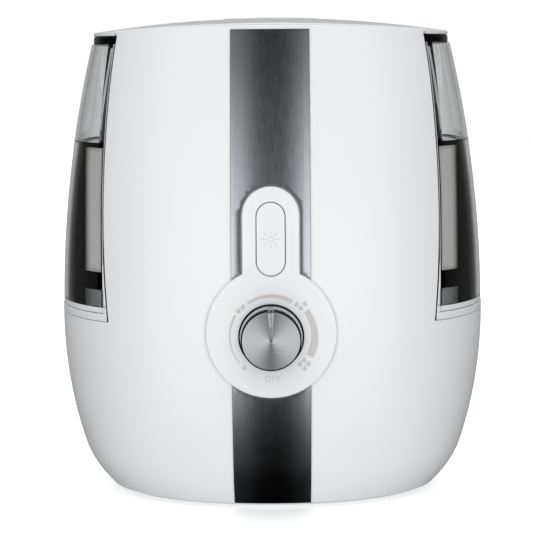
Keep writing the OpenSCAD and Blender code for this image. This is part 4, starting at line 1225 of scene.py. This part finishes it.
bar_top = moulding(drawn_in(bail_outline(0.0, 0.0)), [], CHANNEL_FLOOR_Z + 0.6, lambda x, y: dome(x, y, -0.3), 0.7, 1.2)
ends = []
for side in (-1, 1):
    ends.append(rod_along_x(side * HANDLE_X - HANDLE_W / 2, side * HANDLE_X + HANDLE_W / 2, 0, PIVOT_Z, PIVOT_END_R))
    ends.append(rod_along_x(side * HANDLE_X - HANDLE_W / 2 - 1.5, side * HANDLE_X + HANDLE_W / 2 + 1.5, 0, PIVOT_Z, PIN_R))
crease(make_piece("fold_handle", *joined(bar_top, *ends), LID, "handle", "lid_grey", ["carry_handle"], weld=True))

# The basin's rim between the panels, level with the housing's edge
rim_low, rim_high = node_box("basin_rim")
RIM_SIDE_X = EDGE_FOOT_X + 0.7
RIM_INNER_R = (118.1, 80.1, 2.6)


def rim_crescent(t):
    """The left crescent: the barrel's outline outside, and the tub's inside."""
    z = rim_low.z
    outer_end = angle_at_x(z, RIM_SIDE_X + t, t)
    rx, ry, n = RIM_INNER_R
    inner_end = math.degrees(math.acos(((RIM_SIDE_X + t) / (rx + t)) ** (n / 2)))
    outer = [barrel_point(z, a, t)[:2] for a in spread(-outer_end, outer_end, 48)]
    inner = [oval_point(rx + t, ry + t, n, a) for a in spread(inner_end, -inner_end, 48)]
    return outer + inner


verts, faces = moulding(rim_crescent, [], rim_low.z, rim_high.z, 0.3, 0.5)
mirrored = ([(-x, y, z) for x, y, z in verts], [f[::-1] for f in faces])
crease(make_piece("basin_crescents", *joined((verts, faces), mirrored), TRIM, "base", "trim_white", ["basin_rim"], weld=True))


# ---- CAD nodes that stay as they are get their finish -----------------------------------------------------

CAD_FINISH = {
    INNER: ["front_liner", "rear_liner", "base_cover", "air_duct"],
    FOOT: ["foot_ring"],
    TRIM: ["basin", "basin_floor", "basin_posts", "chamber_ring", "air_stack", "rim_lips"],
    ZINC: ["cover_screws", "clamp_screws", "float_clip"],
    STEEL: ["knob_shaft", "transducer_clamp", "valve_spring"],
    BLACK: ["potentiometer", "light_switch", "fan_housing", "fan_rotor", "cord_gland", "tank_seal"],
    BOARD: ["light_board", "driver_board", "power_board"],
    LED: ["night_light_leds"],
    DISC: ["transducer_disc"],
    RUBBER: ["transducer_seal"],
    ALUMINIUM: ["heat_sink"],
    CORE: ["transformer"],
    FLOAT: ["float"],
    TUBE: ["mist_tube"],
    CAP: ["tank_cap"],
    SEAL: ["cap_gasket", "valve_seal"],
    CARTRIDGE: ["valve_plunger", "mineral_cartridge"],
}
for finish, names in CAD_FINISH.items():
    for name in names:
        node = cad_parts[name]
        node.data.materials.clear()
        node.data.materials.append(finish)


# ---- Stage, light and camera ---------------------------------------------------------------------------------


def aim(obj, place, target, roll=0.0):
    obj.location = Vector(place) * MM
    turn = (Vector(target) - Vector(place)).to_track_quat("-Z", "Y")
    obj.rotation_euler = (turn.to_matrix().to_4x4() @ Matrix.Rotation(math.radians(roll), 4, "Z")).to_euler()


def studio_world():
    """White to the camera. Reflections see a bright horizon with a dark middle, top and floor, the
    diffuse light falls off to the sides, and what shines through comes from the front or straight
    from behind, as in a studio with a white backdrop and dark sides."""
    result = bpy.data.worlds.new("studio")
    result.use_nodes = True
    nodes, links = result.node_tree.nodes, result.node_tree.links
    background = nodes["Background"]
    place = nodes.new("ShaderNodeTexCoord")
    split = nodes.new("ShaderNodeSeparateXYZ")
    links.new(place.outputs["Generated"], split.inputs[0])

    def math_node(operation, a, b=None):
        node = nodes.new("ShaderNodeMath")
        node.operation = operation
        for socket, value in zip(node.inputs, (a, b)):
            if value is None:
                continue
            if isinstance(value, (int, float)):
                socket.default_value = value
            else:
                links.new(value, socket)
        return node.outputs[0]

    def grey_ramp(source, *stops):
        return ramp(nodes, links, source, *[(p, (v, v, v)) for p, v in stops])

    side = math_node("ABSOLUTE", split.outputs["X"])
    height = math_node("MULTIPLY_ADD", split.outputs["Z"], 0.5)
    height.node.inputs[2].default_value = 0.5
    gap = grey_ramp(side, (0.0, 0.05), (0.045, 0.08), (0.12, 0.85), (0.165, 1.0), (0.62, 1.0), (0.8, 0.12),
                    (1.0, 0.01))
    band = grey_ramp(height, (0.0, 0.02), (0.11, 0.055), (0.165, 0.14), (0.3, 0.5), (0.44, 0.9), (0.52, 1.0),
                     (0.591, 0.79), (0.646, 0.59), (0.703, 0.38), (0.757, 0.2), (0.85, 0.15), (1.0, 0.3))
    fall = grey_ramp(side, (0.0, 1.0), (0.25, 1.0), (0.6, 0.56), (1.0, 0.1))
    diffuse = math_node("MULTIPLY", fall, DIFFUSE_LIGHT)
    back = math_node("MULTIPLY_ADD", split.outputs["Y"], 0.5)
    back.node.inputs[2].default_value = 0.5
    behind = grey_ramp(back, (0.0, 1.0), (0.55, 1.0), (0.8, 0.12), (1.0, 0.12))
    glossy = math_node("MULTIPLY", math_node("MULTIPLY", gap, band), math_node("MULTIPLY", behind, GLOSS_LIGHT))
    through = grey_ramp(back, (0.0, 1.0), (0.3, 1.0), (0.5, 0.06), (0.9, 0.06), (0.98, 0.8), (1.0, 0.9))
    path = nodes.new("ShaderNodeLightPath")

    def choose(flag, if_set, otherwise):
        mix = nodes.new("ShaderNodeMix")
        mix.data_type = "FLOAT"
        links.new(flag, mix.inputs["Factor"])
        for socket, value in ((mix.inputs["A"], otherwise), (mix.inputs["B"], if_set)):
            if isinstance(value, (int, float)):
                socket.default_value = value
            else:
                links.new(value, socket)
        return mix.outputs["Result"]

    strength = choose(path.outputs["Is Glossy Ray"], glossy, diffuse)
    strength = choose(path.outputs["Is Transmission Ray"], through, strength)
    strength = choose(path.outputs["Is Camera Ray"], 1.0, strength)
    links.new(strength, background.inputs["Strength"])
    background.inputs["Color"].default_value = (1, 1, 1, 1)
    return result


GLOSS_LIGHT = 2.0
DIFFUSE_LIGHT = 1.6
bpy.context.scene.world = studio_world()
bpy.context.scene.view_settings.view_transform = "Standard"

floor_mesh = bpy.data.meshes.new("floor")
floor_mesh.from_pydata([(-4, -4, 0), (4, -4, 0), (4, 4, 0), (-4, 4, 0)], [], [(0, 1, 2, 3)])
floor_material, _, _, floor_shader = new_material("floor_white")
set_shader(floor_shader, Base_Color=(0.9, 0.9, 0.9, 1.0), Roughness=0.9, Specular_IOR_Level=0.1)
floor_shader.inputs["Emission Color"].default_value = (1, 1, 1, 1)
floor_shader.inputs["Emission Strength"].default_value = 0.35
floor_mesh.materials.append(floor_material)
floor = bpy.data.objects.new("floor", floor_mesh)
bpy.context.scene.collection.objects.link(floor)
floor.visible_glossy = False
floor.visible_transmission = False
floor.visible_diffuse = False

camera_data = bpy.data.cameras.new("camera")
camera = bpy.data.objects.new("camera", camera_data)
bpy.context.scene.collection.objects.link(camera)
camera_data.sensor_width = 36.0
camera_data.lens = 121.5
CAMERA_PLACE = (8.0, -1100.0, 265.0)
CAMERA_TARGET = (-3.5, 0.0, 135.0)
aim(camera, CAMERA_PLACE, CAMERA_TARGET, -0.4)
bpy.context.scene.camera = camera
